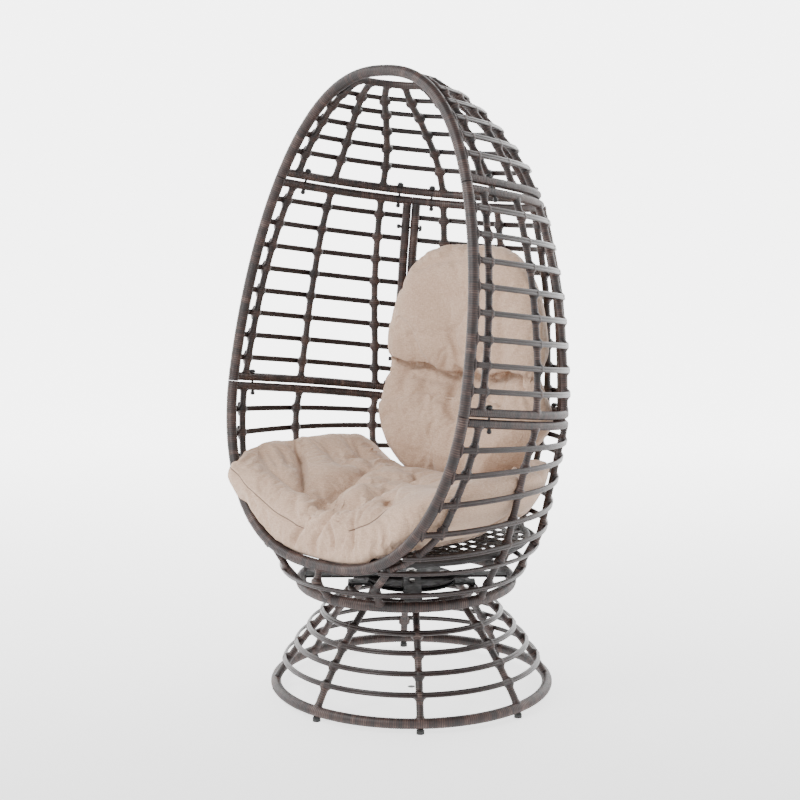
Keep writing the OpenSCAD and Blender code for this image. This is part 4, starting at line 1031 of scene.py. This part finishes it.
def puff(ob, held, gathered, cap):
    """Cloth with air inside swells for 20 frames between the held lines, by cap mm at most."""
    start = measure(ob.data)[0]
    for name, weight in (("held", held), ("gathered", gathered)):
        group = ob.vertex_groups.new(name=name)
        level = np.round(weight * 8).astype(int)
        for k in range(1, 9):
            group.add(np.nonzero(level == k)[0].tolist(), k / 8, "REPLACE")
    mod = ob.modifiers.new("cover", "CLOTH")
    for key, value in {
            "quality": 4, "mass": 0.25, "tension_stiffness": 12, "compression_stiffness": 12,
            "shear_stiffness": 4, "bending_stiffness": 0.25, "air_damping": 4, "use_pressure": True,
            "uniform_pressure_force": 4, "vertex_group_mass": "held", "vertex_group_shrink": "gathered",
            "shrink_min": -0.07, "shrink_max": 0.12}.items():
        setattr(mod.settings, key, value)
    mod.settings.effector_weights.gravity = 0
    mod.collision_settings.use_collision = False
    mod.point_cache.frame_start, mod.point_cache.frame_end = 1, 20
    for frame_no in range(1, 21):
        SCENE.frame_set(frame_no)
    move = measure(as_seen(ob))[0] - start
    SCENE.frame_set(1)
    ob.modifiers.clear()
    size = np.linalg.norm(move, axis=1)
    return start + move * (cap * np.tanh(size / cap) / np.maximum(size, 1e-6))[:, None]


def keep_in(co, tree, reach):
    """Pulls back what swelled further than reach beyond the solid's surface."""
    for i, q in enumerate(co * MM):
        at, normal, _, _ = tree.find_nearest(Vector(q))
        if (Vector(q) - at).dot(normal) > reach[i] * MM:
            co[i] = np.array(at + normal * reach[i] * MM) / MM
    return co


def edges(me):
    ends = np.zeros(len(me.edges) * 2, np.int32)
    me.edges.foreach_get("vertices", ends)
    return ends.reshape(-1, 2).T


def relax(me, co, pick, rounds):
    """Evens out the picked points among their neighbours."""
    a, b = edges(me)
    k = pick[a] | pick[b]
    ends, others = np.concatenate([a[k], b[k]]), np.concatenate([b[k], a[k]])
    count = np.bincount(ends, minlength=len(co))
    for _ in range(rounds):
        total = np.stack([np.bincount(ends, co[others, i], len(co)) for i in range(3)], -1)
        co[pick] = 0.4 * co[pick] + 0.6 * total[pick] / count[pick][:, None]
    return co


def spread(me, pick, rounds):
    """Adds the neighbours of the picked points, a few times over."""
    a, b = edges(me)
    for _ in range(rounds):
        wide = pick.copy()
        wide[a] |= pick[b]
        wide[b] |= pick[a]
        pick = wide
    return pick


def clear_of_tube(me, co, gap):
    """Pushes points out to gap from the front hoop's middle line, and evens out what is near it."""
    line = front_point(np.linspace(180, 360, 241))
    close = np.nonzero(co[:, 1] < -200)[0]
    for rounds in (0, 12, 6):
        if rounds:
            pick = np.zeros(len(co), bool)
            pick[close[d < gap + 7]] = True
            co = relax(me, co, pick, rounds)
        d, _, off, _ = near(co[close], line)
        k = d < gap
        co[close[k]] += off[k] * ((gap / np.maximum(d[k], 0.5)) - 1)[:, None]
    return co


def over_rim(co):
    """The front hangs over the deck's rim, down to the front hoop."""
    x, y, z = co.T
    co[:, 2] -= 38 * ease((-y - 312) / 8) * ease((x + 266) / 60) * ease((190 - x) / 60) * ease((515 - z) / 70)
    return co


def corner(co):
    """The front left corner is stuffed out over the front hoop."""
    w = np.exp(-(((co - [-330, -290, 568]) / [90, 60, 80]) ** 2).sum(1))
    co = co + w[:, None] * [2, -34, 14]
    co[:, 0] -= 16 * ease((-co[:, 1] - 312) / 10) * ease((-co[:, 0] - 240) / 80)
    return co


def overhang(co, normals):
    """The head lobe sags over the fold between the two lobes."""
    fold = np.interp(co[:, 0], *FOLD)
    co[:, 2] -= 17 * bell(co[:, 2] - fold - 26, 22) * ease(-normals[:, 1] * 1.5)
    return co


def rest_on(co, tree, gap):
    """Pushes points out of another cushion, so that the two only touch."""
    for i, q in enumerate(co * MM):
        at, normal, _, dist = tree.find_nearest(Vector(q), 0.09)
        if at is None:
            continue
        over = (Vector(q) - at).dot(normal) / MM
        if over < -0.6 * dist / MM or dist / MM < gap and over < gap:
            co[i] += np.array(normal) * (gap - over)
    return co


def seam_marks(me, seams):
    """Signed distance to the nearest seam, for the stitched line in the cloth."""
    co, normals = measure(me)
    best, signed = np.full((2, len(co)), 40.0)
    for points in seams:
        d, t, off, way = near(co[:, [0, 2]], curve(points))
        side = np.sign(off[:, 0] * way[:, 1] - off[:, 1] * way[:, 0])
        k = (d < best) & (normals[:, 1] < 0.1) & (co[:, 1] < -150) & (t > 0) & (t < 1)
        best[k], signed[k] = d[k], (side * d)[k]
    mark(me, "seam", signed)


def swell(ob, co, normals, lines, seams, fixed):
    """The cloth step: held in the lines and where fixed, gathered along the seams."""
    write(ob.data, co)
    held, gathered = fixed, np.zeros(len(co))
    for axes, depth, _, *points in lines:
        d = near(co[:, list(axes)], curve(points))[0]
        held = np.maximum(held, ease((11 - d) / 8) * (facing(normals, axes) > 0) * min(1, depth / 8))
    for points in seams:
        d = near(co[:, [0, 2]], curve(points))[0]
        gathered = np.maximum(gathered, ease((16 - d) / 12) * (co[:, 1] < -150))
    return puff(ob, held, gathered, 14)


def cushion(name, cad, point, valleys, creases, seams, behind):
    seat = cad == "seat_cushion"
    ob = linked(name, pad_mesh(point))
    me = applied(ob, "REMESH", mode="VOXEL", voxel_size=VOXEL)
    co, normals = measure(me)
    co = press_in(co, normals, valleys)
    # The seat cushion lies on the deck, the back cushion against the ribs
    fixed = ease((452 - co[:, 2]) / 14) if seat else ease((normals[:, 1] - 0.2) / 0.4)
    co = swell(ob, co, normals, creases + valleys, seams, fixed)
    reach = 34 + 36 * seat * ease((co[:, 1] - 20) / 60) * ease((np.abs(co[:, 0]) - 170) / 60)
    co = keep_in(co, tree_of(NODES[cad].data), reach)
    co = over_rim(corner(co)) if seat else overhang(co, normals)
    for other in behind:
        before = co.copy()
        co = rest_on(co, other, 3.0)
        pick = spread(me, np.linalg.norm(co - before, axis=1) > 0.3, 4)
        co = rest_on(relax(me, co, pick, 25), other, 2.0)
        co = relax(me, co, pick, 3)
    write(me, co)
    me = applied(ob, "SUBSURF", levels=1, render_levels=1)
    co, normals = measure(me)
    co = press_in(co, normals, creases)
    if seat:
        co = clear_of_tube(me, co, FRONT_R + 2.0)
    write(me, co)
    ob.vertex_groups.clear()
    seam_marks(me, seams)
    mark(me, "cloth", co * MM)
    me.materials.clear()
    me.materials.append(LINEN)
    me.shade_smooth()
    return ob


behind = []
for name, cad, *recipe in (
        ("back_cushion_lobed", "back_cushion", back_point, BACK_VALLEYS, BACK_CREASES, []),
        ("seat_cushion_tufted", "seat_cushion", seat_point, SEAT_VALLEYS, SEAT_CREASES, SEAT_SEAMS)):
    ob = cushion(name, cad, *recipe, behind)
    behind.append(tree_of(ob.data))
    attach(ob, "seat")
    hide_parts(cad)

# ---- carried-over CAD nodes
for mat, names in (
        (RUBBER, ["feet"]), (BALLS, ["swivel_balls"]), (CORD_BLACK, ["seat_deck_rim"]), (NET, ["seat_deck_net"]),
        (STEEL, ["stand_cross_arms", "swivel_lower_plate", "swivel_upper_plate", "seat_cross_arms"]),
        (PLATED, ["swivel_king_pin", "swivel_lock_nut", "swivel_lower_bolts", "swivel_upper_bolts"]),
        (CAPS, [f"{place}_{what}" for place in ("upper_joint", "lower_joint", "post") for what in ("bolts", "nuts")])):
    for name in names:
        NODES[name].data.materials.clear()
        NODES[name].data.materials.append(mat)

# ---- floor, light and camera
# The photo's camera: where it stands, which way it looks, and its focal length in picture widths
AZ, YAW, PITCH = map(math.radians, (43.8576, -0.39654, 9.1738))
CAM_DIST, CAM_HEIGHT, CAM_FOCAL, SENSOR = 4.40124, 1.48549, 1715.934 / 800, 36
Z_UP = Vector((0, 0, 1))
back_way = Vector((-math.sin(AZ), math.cos(AZ), 0))
right_way = Vector((math.cos(AZ), math.sin(AZ), 0))
ahead = math.cos(YAW) * back_way + math.sin(YAW) * right_way
right = math.cos(YAW) * right_way - math.sin(YAW) * back_way
view = math.cos(PITCH) * ahead - math.sin(PITCH) * Z_UP
up = math.sin(PITCH) * ahead + math.cos(PITCH) * Z_UP
cam_data = bpy.data.cameras.new("camera")
cam_data.sensor_fit = "HORIZONTAL"
cam_data.sensor_width = SENSOR
cam_data.lens = CAM_FOCAL * SENSOR
cam = linked("camera", cam_data)
cam.matrix_world = Matrix((right, up, -view)).transposed().to_4x4()
cam.location = Vector((math.sin(AZ) * CAM_DIST, -math.cos(AZ) * CAM_DIST, CAM_HEIGHT))
SCENE.camera = cam

# A round studio: the floor runs up into a wall all around; radius and height of its section
SWEEP = [(0.01, 0), (1.5, 0), (3.6, 0), (4.6, 0.1), (5.4, 0.4), (6.0, 0.9), (6.35, 1.6), (6.5, 2.4), (6.5, 7.0)]
TURNS = 96
floor = bpy.data.meshes.new("floor")
places = [(r * math.cos(2 * math.pi * k / TURNS), r * math.sin(2 * math.pi * k / TURNS), z)
          for r, z in SWEEP for k in range(TURNS)]
floor.from_pydata(places, [], [(i + k, i + (k + 1) % TURNS, i + TURNS + (k + 1) % TURNS, i + TURNS + k)
                               for i in range(0, TURNS * (len(SWEEP) - 1), TURNS) for k in range(TURNS)])
floor.shade_smooth()
floor_ob = linked("floor", floor)
pale = Paint("pale_floor")
far = pale.add("VectorMath", {0: pale.position(), 1: back_way}, "Value", operation="DOT_PRODUCT")
# The wall behind the chair is the brightest
pale.surface({"Base Color": (0.45, 0.45, 0.45, 1), "Roughness": 0.9, "Emission Color": (1, 1, 1, 1),
              "Emission Strength": pale.span(far, -2.0, 3.5, 0.75, 4.2)})
floor.materials.append(pale.mat)

world = bpy.data.worlds.new("studio")
SCENE.world = world
world.use_nodes = True
for socket, value in zip(world.node_tree.nodes["Background"].inputs, ((1, 1, 1, 1), 0.28)):
    socket.default_value = value


def area(name, place, target_z, size, power):
    """A light panel that faces the chair's axis at height target_z."""
    data = bpy.data.lights.new(name, "AREA")
    data.shape = "RECTANGLE"
    data.size, data.size_y = size
    data.energy = power
    ob = linked(name, data)
    ob.location = place
    ob.rotation_euler = (target_z * Z_UP - Vector(place)).to_track_quat("-Z", "Y").to_euler()


def around(turn, dist, z):
    """A place at an angle to the camera's own side."""
    a = AZ + math.radians(turn)
    return (math.sin(a) * dist, -math.cos(a) * dist, z)


area("key", around(-46, 3.0, 3.0), 0.65, (0.9, 0.9), 130)
area("fill", around(52, 3.6, 1.6), 0.8, (2.4, 2.0), 6)
area("rim", around(150, 3.2, 2.6), 1.0, (1.6, 2.4), 25)
area("top", (0, 0, 3.6), 0, (2.6, 2.6), 10)
